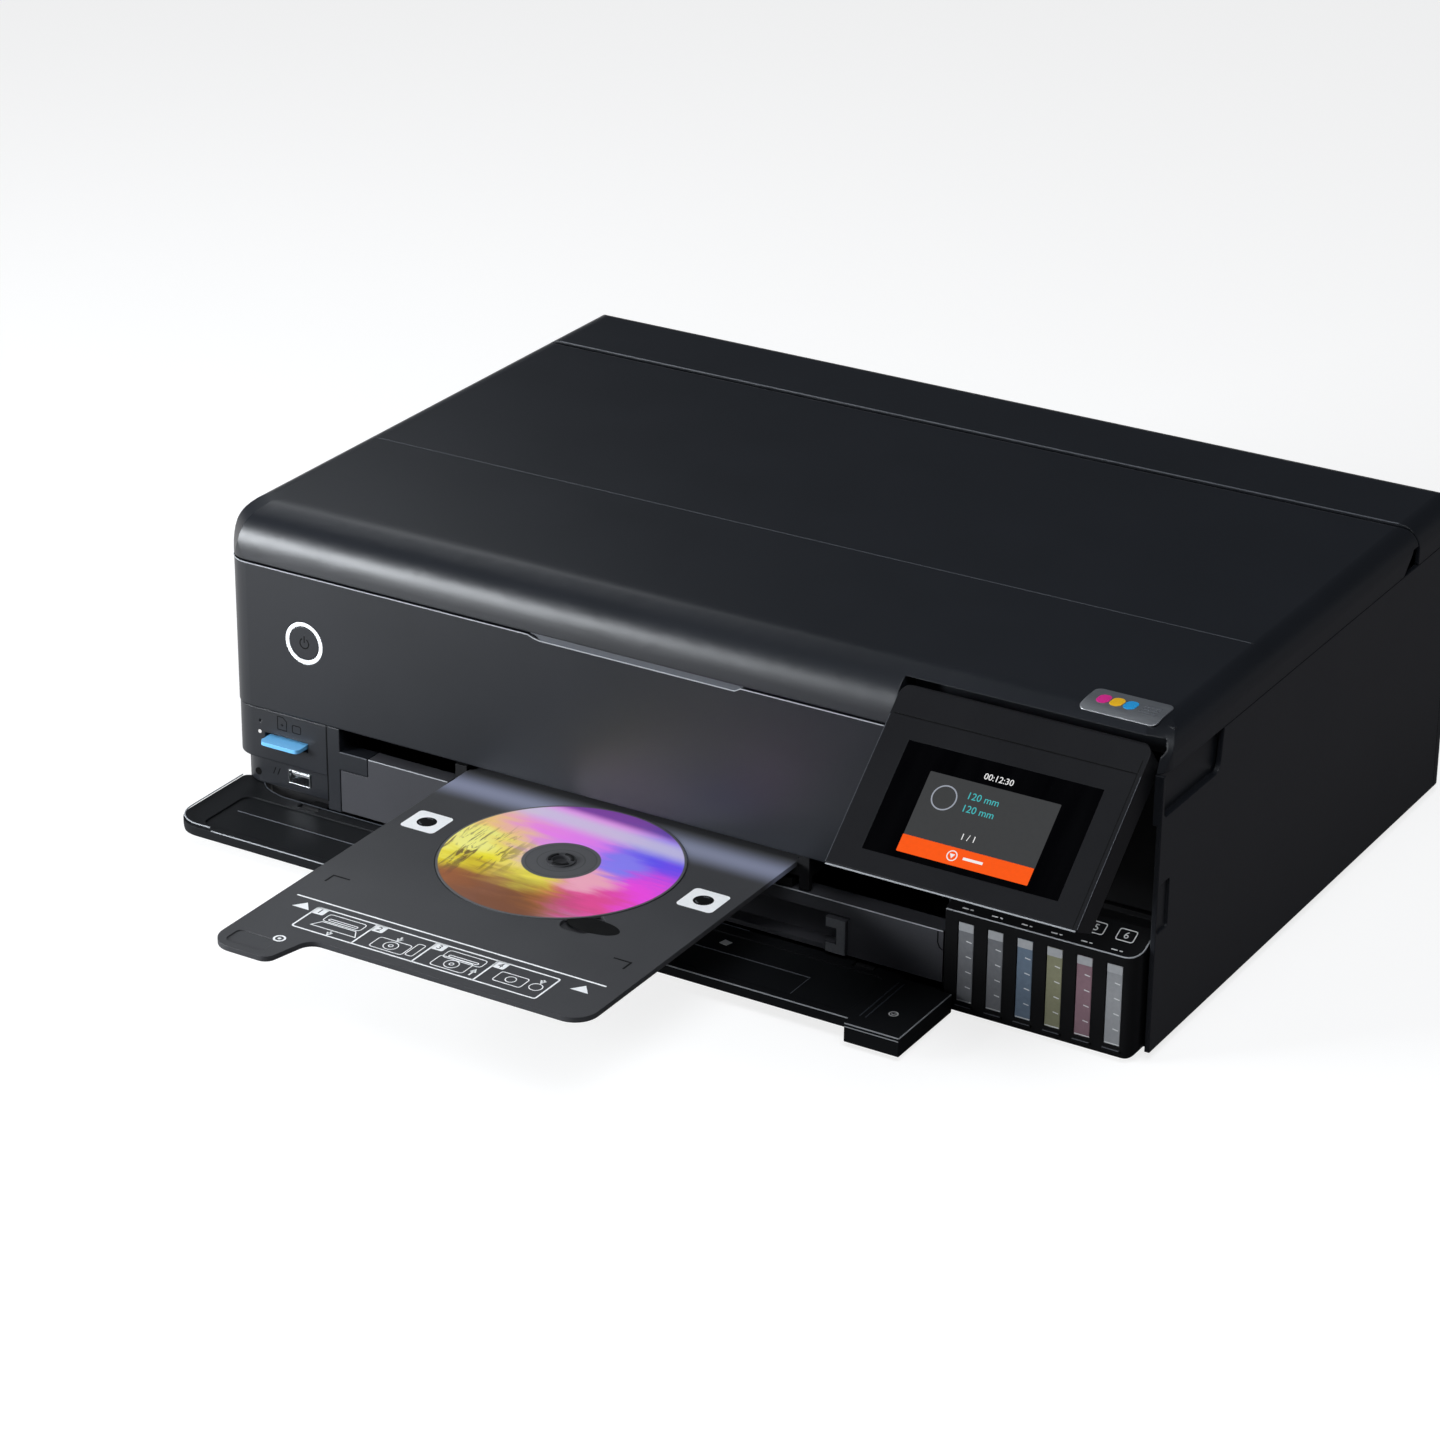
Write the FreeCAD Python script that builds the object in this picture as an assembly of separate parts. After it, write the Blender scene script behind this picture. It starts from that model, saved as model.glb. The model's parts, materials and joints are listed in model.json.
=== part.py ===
import FreeCAD, Part
import math
import os

V = FreeCAD.Vector
os.makedirs("parts", exist_ok=True)

# Working axes: X to the right, Y from the front face to the back, Z up from the desk.

# ---- driving sizes, mm
WIDTH = 523.0            # over the side covers
TOP = 166.0              # desk to the top of the lid
BACK = 352.0             # front face to the back cover
FOOT = 5.0               # rubber feet, desk to underside
WALL = 2.5               # moulded covers
PANEL_WALL = 3.0         # front cover plates
CORNER = 14.0            # upright corners, in plan
CORNER_END = CORNER + 2.0    # where the front pieces meet the sides
LOW_CORNER = 15.0        # corner below the front panel
SEAM = 0.4               # gap between covers
LIP_GAP = 1.5            # shadow gap below the lid's front lip
REAR_SEAM = BACK - 56.6       # front edge of the rear feed cover
LID_FRONT_Z = TOP - 25.6 # underside of the lid's front lip
LID_SIDE_Z = TOP - 19.6  # underside of the lid's sides
# rounding of the lid's front edge: back from the front face, down from the top
LID_ROUND = [(0, -25.6), (0.9, -18), (3.2, -11.5), (8.2, -5.6), (16, -1.7), (28, 0)]
SIDE_ROUND = 12.0        # rounding of the lid's side edges
BACK_ROUND = 4.0         # and of its back edge, which swings past the rear feed cover
PANEL_Z = 60.0           # underside of the front panel
PIN = 1.5                # hinge pins, radius
BORE = 1.58              # bores they run in

HALF = WIDTH / 2
INNER = HALF - WALL

# disc tray
TRAY_X0, TRAY_X1 = -114.8, 74.5
TRAY_FRONT = -187.0
TAB_FRONT = -212.5
TRAY_REAR = 65.0
TRAY_TOP, TRAY_T = 55.8, 2.6
TRAY_TRAVEL = 228.0
DISC_X, DISC_Y, DISC_R, DISC_T = -20.8, -58.3, 60.0, 1.2
SPINDLE_R = 7.35

# control panel, drawn shut and then tilted about its pivot
CP_SIDE, CP_WIDE = 5.5, 128.7        # clear of the right cover, width
CP_X1 = HALF - CP_SIDE
CP_X0 = CP_X1 - CP_WIDE
CP_FACE = -3.0
CP_LEN, CP_DEEP = 95.7, 15.0
MOUNT_Y = 22.0           # face of the wall behind the panel
CP_TOP = TOP - 11.0
CP_PIVOT = (8.0, TOP - 17.2)
CP_TILT = 48.6
PANEL_RIGHT = CP_X0 - 3.9            # right end of the front panel

# ink tanks, in a housing at the right
TANK_N = 6
TANK_PITCH, TANK_W = 15.45, 13.8
TANK_SIDE, TANK_END = 11.0, 11.65    # first and last tank's middle to the housing's sides
HOUSE_SIDE, HOUSE_Y = 4.1, -3.0
HOUSE_X1 = HALF - HOUSE_SIDE
HOUSE_X0 = HOUSE_X1 - TANK_END - (TANK_N - 1) * TANK_PITCH - TANK_SIDE
TANK_X = HOUSE_X0 + TANK_SIDE

# cassette, under the slot
CAS_X0, CAS_X1 = -HALF + 69.7, HOUSE_X0 - 2.3
CAS_Z0, CAS_Z1, CAS_HIGH = 14.0, 41.0, 47.0
CAS_REAR = BACK - 52.0
POST_X0, POST_X1 = CAS_X0 - 8.2, CAS_X0 - 0.5      # post between card panel and cassette

# lid and scanner share one hinge line
LID_REAR = REAR_SEAM - 1.4
LID_AXIS = (LID_REAR - 5.0, TOP - 5.5)
FEED_AXIS = (BACK - 3.5, TOP - 17.0)
SCAN_HALF = HALF - 10.5              # half the scanner's width
SCAN_Z = LID_SIDE_Z - 0.8            # top of the scanner's tub

# rollers
FEED_Y, FEED_R = 150.0, 7.0
PINCH_R = 5.0
EJECT_Y, EJECT_R = 88.0, 4.0
NIP = 0.4                # clear of the tray, above and below
MECH_X0, MECH_X1 = -HALF + 25.5, HALF - 130.5      # side plates of the mechanism
PULLEY_X, IDLER_X = MECH_X1 + 17.0, MECH_X0 + 12.0
BELT_Y, BELT_Z, BELT_R = 121.5, 94.0, 6.0

Y_MID = (TAB_FRONT + BACK) / 2


# ---- helpers
def box(x0, x1, y0, y1, z0, z1):
    return Part.makeBox(x1 - x0, y1 - y0, z1 - z0, V(x0, y0, z0))


def cyl(axis, r, a, b, lo, hi):
    """Cylinder along an axis; a and b are its place on the other two, in order."""
    at = {"x": V(lo, a, b), "y": V(a, lo, b), "z": V(a, b, lo)}[axis]
    way = {"x": V(1, 0, 0), "y": V(0, 1, 0), "z": V(0, 0, 1)}[axis]
    return Part.makeCylinder(r, hi - lo, at, way)


def spot(axis, a, b, at):
    return {"x": V(at, a, b), "y": V(a, at, b), "z": V(a, b, at)}[axis]


def prism(axis, pts, lo, hi):
    """A closed outline of (a, b) or (a, b, corner radius), pushed along an axis."""
    n = len(pts)
    edges, last, first = [], None, None
    for i in range(n):
        p = pts[i]
        r = p[2] if len(p) > 2 else 0.0
        p0 = V(p[0], p[1], 0)
        if r:
            a, b = pts[i - 1], pts[(i + 1) % n]
            u, w = V(a[0], a[1], 0) - p0, V(b[0], b[1], 0) - p0
            u.normalize()
            w.normalize()
            half = u.getAngle(w) / 2
            d = r / math.tan(half)
            s = u + w
            s.normalize()
            c = p0 + s * (r / math.sin(half))
            t0, t1, m = p0 + u * d, p0 + w * d, c - s * r
        else:
            t0 = t1 = p0
            m = None
        if first is None:
            first = t0
        if last is not None and (last - t0).Length > 1e-6:
            edges.append(Part.LineSegment(
                spot(axis, last.x, last.y, lo), spot(axis, t0.x, t0.y, lo)).toShape())
        if m is not None:
            edges.append(Part.Arc(spot(axis, t0.x, t0.y, lo), spot(axis, m.x, m.y, lo),
                                  spot(axis, t1.x, t1.y, lo)).toShape())
        last = t1
    if (last - first).Length > 1e-6:
        edges.append(Part.LineSegment(
            spot(axis, last.x, last.y, lo), spot(axis, first.x, first.y, lo)).toShape())
    face = Part.Face(Part.Wire(edges))
    return face.extrude(spot(axis, 0, 0, hi - lo))


def rrect(axis, a0, a1, b0, b1, lo, hi, r):
    """A rectangle with four equal round corners, pushed along an axis."""
    return prism(axis, [(a0, b0, r), (a1, b0, r), (a1, b1, r), (a0, b1, r)], lo, hi)


def fuse(*shapes):
    out = shapes[0]
    for s in shapes[1:]:
        out = out.fuse(s)
    return out.removeSplitter()


def cut(shape, *tools):
    for t in tools:
        shape = shape.cut(t)
    return shape


def put(name, shape):
    """Centres the object front to back and writes one node."""
    shape = shape.copy()
    shape.translate(V(0, -Y_MID, 0))
    solids = shape.Solids
    if len(solids) == 1:
        shape = solids[0]
    else:
        print("MANY SOLIDS", name, len(solids), [round(s.Volume) for s in solids])
    if not shape.isValid():
        print("NOT VALID", name)
    shape.exportStep("parts/%s.step" % name)


# ---- base and feet
def base_tray():
    rear = BACK - 8.4
    floor = fuse(box(-INNER, INNER, 14, rear, FOOT, FOOT + 2.5),
                 box(-HALF + 71.5, HALF - 71.5, rear - 0.6, BACK - WALL, FOOT, FOOT + 2.5))
    rim_out = box(-INNER, INNER, 14, rear, FOOT, 18)
    rim = cut(rim_out, box(-INNER + 2.5, INNER - 2.5, 16.5, rear - 2.5, FOOT + 2.5, 19),
              box(-INNER - 1, -HALF + 31.5, 13, 30, 12.6, 19),
              box(HALF - 31.5, INNER - 1, 13, 101, FOOT + 2.5, 19),
              box(CAS_X0 - 3, HOUSE_X1 + 2, 13, 17, FOOT + 2.5, 19),
              box(-INNER - 1, CAS_X0 - 2, 13, 17, 13.0, 19))
    sill = box(-HALF + 35.5, HOUSE_X0 - 3.0, COVER_Y[0] + 3.0, 14.5, FOOT, FOOT + 2.4)
    parts = [floor, rim, sill]
    for x in (CAS_X0 + 41.8, -50, 50, CAS_X1 - 35.2):    # ribs the cassette slides on
        parts.append(box(x - 1.5, x + 1.5, 14, BACK - 22, FOOT, CAS_Z0 - 0.4))
    for x, y in ((CAS_X0 - 6.2, 22), (CAS_X1 + 1.4, 102)):   # walls beside the cassette
        parts.append(box(x, x + 3, y, BACK - 17, FOOT, 38))
    for x in KNUCKLES:                                  # knuckles for the front cover
        parts.append(fuse(box(x - 5, x + 5, -1, 16, FOOT + 2.4, 10),
                          cyl("x", 2.5, -1, 10, x - 5, x + 5)))
    out = fuse(*parts)
    for x in KNUCKLES:
        out = cut(out, cyl("x", BORE, -1, 10, x - 6, x + 6))
    for x, y in FEET:
        out = cut(out, cyl("z", 5.0, x, y, FOOT - 1, FOOT + 1))
    return out


FEET = [(-HALF + 26.5, 36), (HALF - 26.5, 60), (-HALF + 26.5, BACK - 32), (HALF - 26.5, BACK - 32)]
KNUCKLES = (-HALF + 51.5, CP_X0 - 12.3)      # middles of the front cover's hinges


def feet():
    pads = []
    for x, y in FEET:
        pads.append(fuse(cyl("z", 9, x, y, 0, FOOT), cyl("z", 4.9, x, y, FOOT, FOOT + 1)))
    return Part.makeCompound(pads)


# ---- outer covers
def side_left():
    return cut(box(-HALF, -INNER, CORNER_END + SEAM, BACK - 12, FOOT, LID_SIDE_Z - SEAM),
               box(-HALF - 1, -INNER + 1, 12, CORNER_END + 0.6, 0, PANEL_Z - 0.2))


def side_right():
    wall = box(INNER, HALF, 5, BACK - 12, FOOT, LID_SIDE_Z - SEAM)
    low = TOP - 45.0
    # hand hold: the wall steps in, and a pocket closes it
    hold = prism("x", [(7, low + 3.5, 3), (66, low + 3.5, 6), (69, TOP - 16), (7, TOP - 16)], INNER - 1, HALF + 1)
    pocket = box(INNER - 2, INNER - 0.8, 5, 71, low, LID_SIDE_Z - SEAM)
    for a, b, lo, hi in ((5, 71, low, low + 3.4), (5, 6.9, low, LID_SIDE_Z - SEAM),
                         (69.1, 71, low, LID_SIDE_Z - SEAM)):
        pocket = fuse(pocket, box(INNER - 2, INNER + 0.5, a, b, lo, hi))
    slot = rrect("x", 5.5, 17, 66, 91, HALF - 1.2, HALF + 1, 1.5)
    return cut(fuse(cut(wall, hold), pocket), slot)


def rear_panel():
    start = BACK - 11.6
    back = prism("z", [(-HALF, start), (-HALF, BACK, 8), (HALF, BACK, 8), (HALF, start),
                       (INNER, start), (INNER, BACK - WALL, 5.5), (-INNER, BACK - WALL, 5.5),
                       (-INNER, start)], FOOT, LID_SIDE_Z - 1.4)
    y = REAR_SEAM + 1.6                                # wall between scanner and rear feed
    high = TOP - 23.0
    bulk = box(-HALF + 5.5, HALF - 5.5, y, y + 2.5, 60, high)
    sill = TOP - 46.0
    hopper = prism("x", [(y + 2.5, 62), (BACK - 7, sill), (BACK - WALL, sill), (BACK - WALL, sill - 3),
                         (BACK - 5.5, sill - 3), (y + 4, 60), (y + 2.5, 60)], -180, 180)
    out = [back, bulk, hopper]
    ly, lz = LID_AXIS
    for s in (-1, 1):
        a, b = sorted((s * (HALF - 9.5), s * (HALF - 5.5)))
        out.append(prism("x", [(ly - 5, 100), (y + 2, 100), (y + 2, high), (ly + 1.6, lz - 8.5),
                               (ly + 1.6, lz), (ly - 2.6, lz), (ly - 2.6, lz - 8.5), (ly - 5, lz - 10.5)], a, b))
        out.append(cyl("x", 2.4, ly, lz, a, b))
        out.append(box(a, b, y, BACK - 2, 100, 110))
        # ears of the rear feed cover
        a, b = sorted((s * (HALF - 10.5), s * (HALF - 6.5)))
        fy, fz = FEED_AXIS
        out.append(fuse(box(a, b, fy - 2.4, BACK - 2, fz - 19, fz), cyl("x", 2.4, fy, fz, a, b)))
    out = fuse(*out)
    for s in (-1, 1):
        a, b = sorted((s * (HALF - 11.5), s * (HALF - 4.5)))
        out = cut(out, cyl("x", BORE, ly, lz, a, b), cyl("x", BORE, FEED_AXIS[0], FEED_AXIS[1], a, b))
    # power inlet opening, and the hatch for clearing jams
    return cut(out, box(INLET_X - 14, INLET_X + 14, BACK - 12, BACK + 8, 20, 40),
               rrect("y", -150, 150, 24, 56, BACK - 1.2, BACK + 1, 4))


INLET_X = HALF - 47.5
RING_X, RING_Z, RING_R, BUTTON_R = -HALF + 49.1, 102.4, 11.4, 8.9
RING_BORE = BUTTON_R + 0.35


def front_panel():
    right = PANEL_RIGHT
    lip = LID_FRONT_Z
    plate = prism("z", [(-HALF, CORNER_END), (-HALF, 0, CORNER), (right, 0), (right, PANEL_WALL),
                        (-HALF + PANEL_WALL, PANEL_WALL, CORNER - PANEL_WALL),
                        (-HALF + PANEL_WALL, CORNER_END)], PANEL_Z, LID_FRONT_Z - LIP_GAP)
    grip = prism("y", [(-79.4, lip + 0.6), (45.4, lip + 0.6), (39.9, lip - 3.4, 2), (-70.2, lip - 3.4, 2)],
                 -1, 2.2)
    top = box(-HALF + 21.5, right, PANEL_WALL, 18, LID_FRONT_Z - LIP_GAP - 2, LID_FRONT_Z - LIP_GAP)
    low = box(-HALF + 21.5, right, PANEL_WALL, 14, PANEL_Z, PANEL_Z + 2.4)
    hole = cyl("y", RING_R, RING_X, RING_Z, -1, 4)
    return cut(fuse(plate, top, low), grip, hole)


def power_ring():
    ring = cut(cyl("y", RING_R, RING_X, RING_Z, 0, 9), cyl("y", RING_BORE, RING_X, RING_Z, -1, 10))
    plug = cyl("y", RING_R, RING_X, RING_Z, 9, 10.5)
    tabs = cyl("y", RING_R + 2, RING_X, RING_Z, PANEL_WALL, 5)
    return fuse(cut(tabs, cyl("y", RING_BORE, RING_X, RING_Z, 0, 10)), ring, plug)


def power_button():
    return fuse(cyl("y", BUTTON_R, RING_X, RING_Z, 0.2, 4.2), cyl("y", 3, RING_X, RING_Z, 4, 7.0))


CARD = dict(x=-HALF + 36.0, w=24.0, z0=42.9, z1=45.0, out=-7.5, deep=27.0)
CARD_SLOT = (CARD["x"] - 13.5, CARD["x"] + 13.5, CARD["z0"] - 1.5, CARD["z1"] + 1.6)


def media_panel():
    x1 = POST_X0 - SEAM
    z0, zm, z1 = 13.0, 31.5, PANEL_Z - SEAM
    def skin(y, lo, hi, t):
        return prism("z", [(-HALF, 15), (-HALF, y, LOW_CORNER), (x1, y), (x1, y + t),
                           (-HALF + t, y + t, LOW_CORNER - t), (-HALF + t, 15)], lo, hi)
    upper = skin(0, zm, z1, PANEL_WALL)
    lower = prism("z", [(-HALF, 29), (-HALF, 8, 14), (x1, 8), (x1, 11),
                        (-HALF + 3, 11, 11), (-HALF + 3, 29)], z0, zm + 2)
    shelf = cut(prism("z", [(-HALF, 15), (-HALF, 0, LOW_CORNER), (x1, 0), (x1, 11),
                            (-HALF + 3, 11), (-HALF + 3, 15)], zm, zm + 2),
                box(-300, -HALF + 1, 14, 30, 0, 60))
    s = CARD_SLOT
    c = CARD
    mouth = box(s[0], s[1], -1, 5, s[2], s[3])
    reader = box(c["x"] - c["w"] / 2 - 0.3, c["x"] + c["w"] / 2 + 0.3, 4, c["deep"] + 1,
                 c["z0"], c["z1"] + 0.3)
    shell = box(s[0] - 2, s[1] + 2, 2, c["deep"] + 2.5, s[2] - 2, s[3] + 2)
    out = fuse(upper, shelf, lower, shell)
    out = cut(out, mouth, reader,
              box(USB[0], USB[1], 7, 12, USB[2], USB[3]),
              cyl("y", 0.9, CARD["x"] - 16.0, 52.5, -1, 0.6))
    # keep the part clear of the left side cover
    return cut(out, box(-300, -INNER + 1, LOW_CORNER + 0.3, 40, 0, 80))


USB = (-HALF + 30.9, -HALF + 44.5, 17.2, 24.6)


def usb_port():
    x0, x1, z0, z1 = USB
    shell = cut(box(x0, x1, 7.4, 20, z0, z1), box(x0 + 0.4, x1 - 0.4, 7, 18.5, z0 + 0.4, z1 - 0.4))
    return fuse(shell, box(x0 + 1.2, x1 - 1.2, 9, 19, z0 + 4.2, z0 + 5.8))


def memory_card():
    c = CARD
    x0, x1 = c["x"] - c["w"] / 2, c["x"] + c["w"] / 2
    return prism("z", [(x0, c["out"], 3.0), (x1, c["out"], 3.0), (x1, c["deep"], 0.8),
                       (x0 + 3, c["deep"]), (x0, c["deep"] - 3)], c["z0"], c["z1"])


def front_frame():
    post = box(POST_X0, POST_X1, 0, 20, 13, PANEL_Z - SEAM)
    block = box(POST_X1 - 0.1, CAS_X0 + 16.6, 0, 10, 37.2, CAS_HIGH)
    lintel = box(POST_X0, HOUSE_X0 - 1.1, 14.2, 20, TRAY_TOP, PANEL_Z - SEAM)
    lintel = cut(lintel, box(TRAY_X0 - 8, TRAY_X1 + 8, 10, 30, TRAY_TOP - 5.8, TRAY_TOP + 2.8))
    jamb = box(HOUSE_X0 - 1.9, HOUSE_X0 - 0.5, 4, 20, 13, PANEL_Z - SEAM)
    return fuse(post, block, lintel, jamb)


def tray_guide():
    """Two rails that the disc tray slides in, hung from a bar behind the panel."""
    a, b = TRAY_X0 - 7.2, TRAY_X1 + 7.0
    z0, z1 = TRAY_TOP - 7.3, TRAY_TOP + 2.1
    slot = TRAY_TOP - TRAY_T - 0.4
    bar = box(a, b, 4, 12, z1, PANEL_Z - SEAM)
    left = cut(box(a, a + 14, 1, 80, z0, z1), box(TRAY_X0 - 0.4, a + 22, 0, 81, slot, z1 + 2.1))
    right = cut(box(b - 13.5, b, 1, 80, z0, z1), box(b - 21.5, TRAY_X1 + 0.4, 0, 81, slot, z1 + 2.1))
    post = box(b - 5.5, b, 1, 4, CAS_Z1 + 0.8, PANEL_Z - SEAM)
    return fuse(bar, left, right, post)


# ---- front cover, lying open
COVER_TOP, COVER_T = 12.5, 5.0
COVER_Y = (-1.0, COVER_TOP - COVER_T / 2)          # hinge line
COVER_FRONT = -52.0
COVER_X1 = CP_X0 + 7.2          # right end of the flap, where its block begins


def front_cover():
    # plan of the main flap; its left end follows the corner of the body
    x0, x1 = -HALF, COVER_X1
    y, lip = COVER_Y[0], COVER_TOP - 9.5
    flap = prism("z", [(x0, 12, 4), (x0, COVER_FRONT, 16), (x1, COVER_FRONT), (x1, y),
                       (x0 + 33.5, y), (x0 + 18.5, 4, 6), (x0 + 9.5, 13)], COVER_TOP - COVER_T, COVER_TOP)
    # underside rises at the left end
    under = cut(box(x0 - 1, x0 + 16, COVER_FRONT - 8, 20, 0, COVER_TOP),
                cyl("y", 20, x0 + 16, COVER_TOP + 13.0, COVER_FRONT - 9, 21))
    under = cut(under, box(x0 - 40, x0 + 16, COVER_FRONT - 9, 21, COVER_TOP - 1.6, 40))
    rim = prism("z", [(x0, 12, 4), (x0, COVER_FRONT, 16), (x0 + 25.5, COVER_FRONT),
                      (x0 + 25.5, COVER_FRONT + 1.4), (x0 + 1.6, COVER_FRONT + 1.4, 14.4), (x0 + 1.6, 11)],
                COVER_TOP - 1.6, COVER_TOP + 1.6)
    barrel = cyl("x", COVER_T / 2, y, COVER_Y[1], x0 + 33.5, x1)
    block = box(x1, x1 + 29, COVER_FRONT - 5, y - 3, lip, COVER_TOP)
    # the end that drops past the tank housing keeps clear of it
    block = cut(block, box(HOUSE_X0 - 1.0, x1 + 30, y - 4.6, y, lip - 1, COVER_TOP + 1))
    step = box(x1 - 8.5, x1 + 1.5, COVER_FRONT, y - 3, COVER_TOP - COVER_T, COVER_TOP)
    out = fuse(cut(flap, under), rim, barrel, block, step)
    # shallow dish in the inside face
    out = cut(out, rrect("z", x0 + 15.5, x1 - 4.5, COVER_FRONT + 5, y - 7, COVER_TOP - 0.8, COVER_TOP + 5, 6))
    for x in KNUCKLES:
        out = cut(out, box(x - 6, x + 6, y - 4.5, y + 4, 0, 20))
        out = fuse(out, cyl("x", PIN, y, COVER_Y[1], x - 7, x + 7))
    return out


# ---- cassette and output tray
GRIP_X, GRIP_DEEP = 105.0, 9.0       # finger recess, half width and depth


def cassette():
    body = cut(box(CAS_X0, CAS_X1, 0, CAS_REAR, CAS_Z0, CAS_Z1 - 5),
               box(CAS_X0 + 2.5, CAS_X1 - 2.5, GRIP_DEEP + 3, CAS_REAR - 2.5, CAS_Z0 + 2.5, CAS_Z1 - 4))
    front = box(CAS_X0, CAS_X1, 0, GRIP_DEEP + 3, CAS_Z0, CAS_Z1)
    high = box(CAS_X0 + 17, CAS_X0 + 65.8, 0, 10, CAS_Z1 - 1, CAS_HIGH)
    low = cut(fuse(body, front, high), box(CAS_X0 - 100, CAS_X0 + 17, -1, GRIP_DEEP + 4, CAS_Z1 - 4.2, 60),
              box(-GRIP_X, GRIP_X, -1, GRIP_DEEP, CAS_Z0 + 2.5, CAS_Z1 - 7))
    # latch at the right of the grip
    x = GRIP_X
    z0, z1 = CAS_Z0 + 0.6, CAS_Z1 - 7.8
    latch = fuse(box(x - 12, x - 1, -2.6, 2, z0, z1), box(x - 7, x + 0.5, 0, GRIP_DEEP + 0.4, z0 + 0.4, z1 - 0.2))
    latch = cut(latch, box(x - 15, x - 6, -4, 3, z0 + 6, z1 - 5.8))
    return cut(fuse(low, latch), box(x - 6.5, x - 3.5, -4, 0, z0 + 1.4, z1 - 1.2))


def output_tray():
    x0, x1 = -108.0, 72.0
    plate = box(x0, x1, 3, 138, 41.6, 43.6)
    ribs = [box(x - 0.8, x + 0.8, 12, 130, 43, 44.3) for x in (-80, -40, 0, 40)]
    return fuse(plate, box(x0, x1, 1, 5, 41.6, 46), *ribs)


# ---- disc tray and disc
def disc_tray():
    z0 = TRAY_TOP - TRAY_T
    plan = prism("z", [(TRAY_X0, TAB_FRONT, 12), (TRAY_X0 + 34, TAB_FRONT, 6),
                       (TRAY_X0 + 40, TRAY_FRONT, 8), (TRAY_X1, TRAY_FRONT, 12),
                       (TRAY_X1, TRAY_REAR, 6), (TRAY_X0, TRAY_REAR, 6)], z0, TRAY_TOP)
    well = cyl("z", DISC_R + 0.5, DISC_X, DISC_Y, TRAY_TOP - 0.9, TRAY_TOP + 5)
    hub = cut(cyl("z", SPINDLE_R, DISC_X, DISC_Y, z0, TRAY_TOP + 0.9),
              cyl("z", 4.2, DISC_X, DISC_Y, TRAY_TOP - 1.2, TRAY_TOP + 3))
    notch = rrect("z", DISC_X + 34, DISC_X + 52, DISC_Y - 58, DISC_Y - 38, TRAY_TOP - 1.9,
                  TRAY_TOP + 5, 6)
    grip = rrect("z", TRAY_X0 + 6, TRAY_X0 + 28, TAB_FRONT + 5, TAB_FRONT + 17,
                 TRAY_TOP - 0.5, TRAY_TOP + 1, 3)
    return fuse(cut(plan, well, notch, grip), hub)


def disc():
    z0 = TRAY_TOP - 0.9
    return cut(cyl("z", DISC_R, DISC_X, DISC_Y, z0, z0 + DISC_T),
               cyl("z", SPINDLE_R + 0.05, DISC_X, DISC_Y, z0 - 1, z0 + 3))


# ---- control panel
ARMS = (CP_X0 + 25.7, CP_X1 - 26.0)     # middles of the two hinge arms
ARM_W = 6.0


def panel_mount():
    high = LID_FRONT_Z - 0.9
    y0 = MOUNT_Y
    wall = box(CP_X0 - 1.8, CP_X1 + 0.6, y0, y0 + WALL, 68, high)
    foot = box(CP_X0 - 1.8, HOUSE_X0 - 1.1, y0 - 4.2, y0 + WALL, PANEL_Z + 6, 70)
    side = box(PANEL_RIGHT + 0.2, CP_X0 - 1.5, 6, y0 + WALL, PANEL_Z, high)
    out = [wall, foot, side]
    py, pz = CP_PIVOT
    for x in ARMS:
        a, b = x - ARM_W / 2, x + ARM_W / 2
        out.append(prism("x", [(y0 + WALL, pz - 18.8), (y0 + WALL, pz - 1.4), (10, pz + 3.0), (py, pz + 3.2),
                               (py, pz - 3.2), (20, pz - 10.8), (y0, pz - 18.8)], a, b))
        out.append(cyl("x", 3.2, py, pz, a, b))
    out = fuse(*out)
    for x in ARMS:
        out = cut(out, cyl("x", 1.9, py, pz, x - ARM_W, x + ARM_W))
    return out


def tilt(shape):
    shape = shape.copy()
    shape.rotate(V(0, CP_PIVOT[0], CP_PIVOT[1]), V(1, 0, 0), -CP_TILT)
    return shape


GLASS = (CP_X0 + 14.7, CP_X0 + 114.5, 27.3, 84.0)     # x from, to; down from the top edge


def panel_shell():
    f, b, t, lo = CP_FACE, CP_FACE + CP_DEEP, CP_TOP, CP_TOP - CP_LEN
    outer = prism("x", [(f, lo, 1.0), (f, t, 2.0), (b, t), (b, lo + 6.0)], CP_X0, CP_X1)
    plan = prism("y", [(CP_X0, lo, 1.0), (CP_X1, lo, 1.0), (CP_X1, t, 7.0), (CP_X0, t, 7.0)], f - 1, b + 1)
    inner = box(CP_X0 + 2.5, CP_X1 - 2.5, f + 2.5, b + 1, lo + 2.5, t - 2.5)
    shell = cut(outer.common(plan), inner)
    shell = cut(shell, box(CP_X0 - 1, CP_X1 + 1, f + 9, b + 2, t - 30, t + 1).cut(
        cut(box(CP_X0 - 1, CP_X1 + 1, f + 9, b + 2, t - 30, t - 2.5),
            box(CP_X0 + 2.5, CP_X1 - 2.5, f, b + 3, t - 31, t))))
    g = GLASS
    seat = box(g[0], g[1], f - 1, f + 1.5, t - g[3], t - g[2])
    groove = box(CP_X0 + 2.0, CP_X1 - 2.0, f - 1, f + 0.5, t - 16.3, t - 15.8)
    rod = cyl("x", 1.8, CP_PIVOT[0], CP_PIVOT[1], CP_X0 + 2, CP_X1 - 2)
    return tilt(fuse(cut(shell, seat, groove), rod))


def panel_glass():
    g, f, t = GLASS, CP_FACE, CP_TOP
    return tilt(box(g[0], g[1], f, f + 1.5, t - g[3], t - g[2]))


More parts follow.
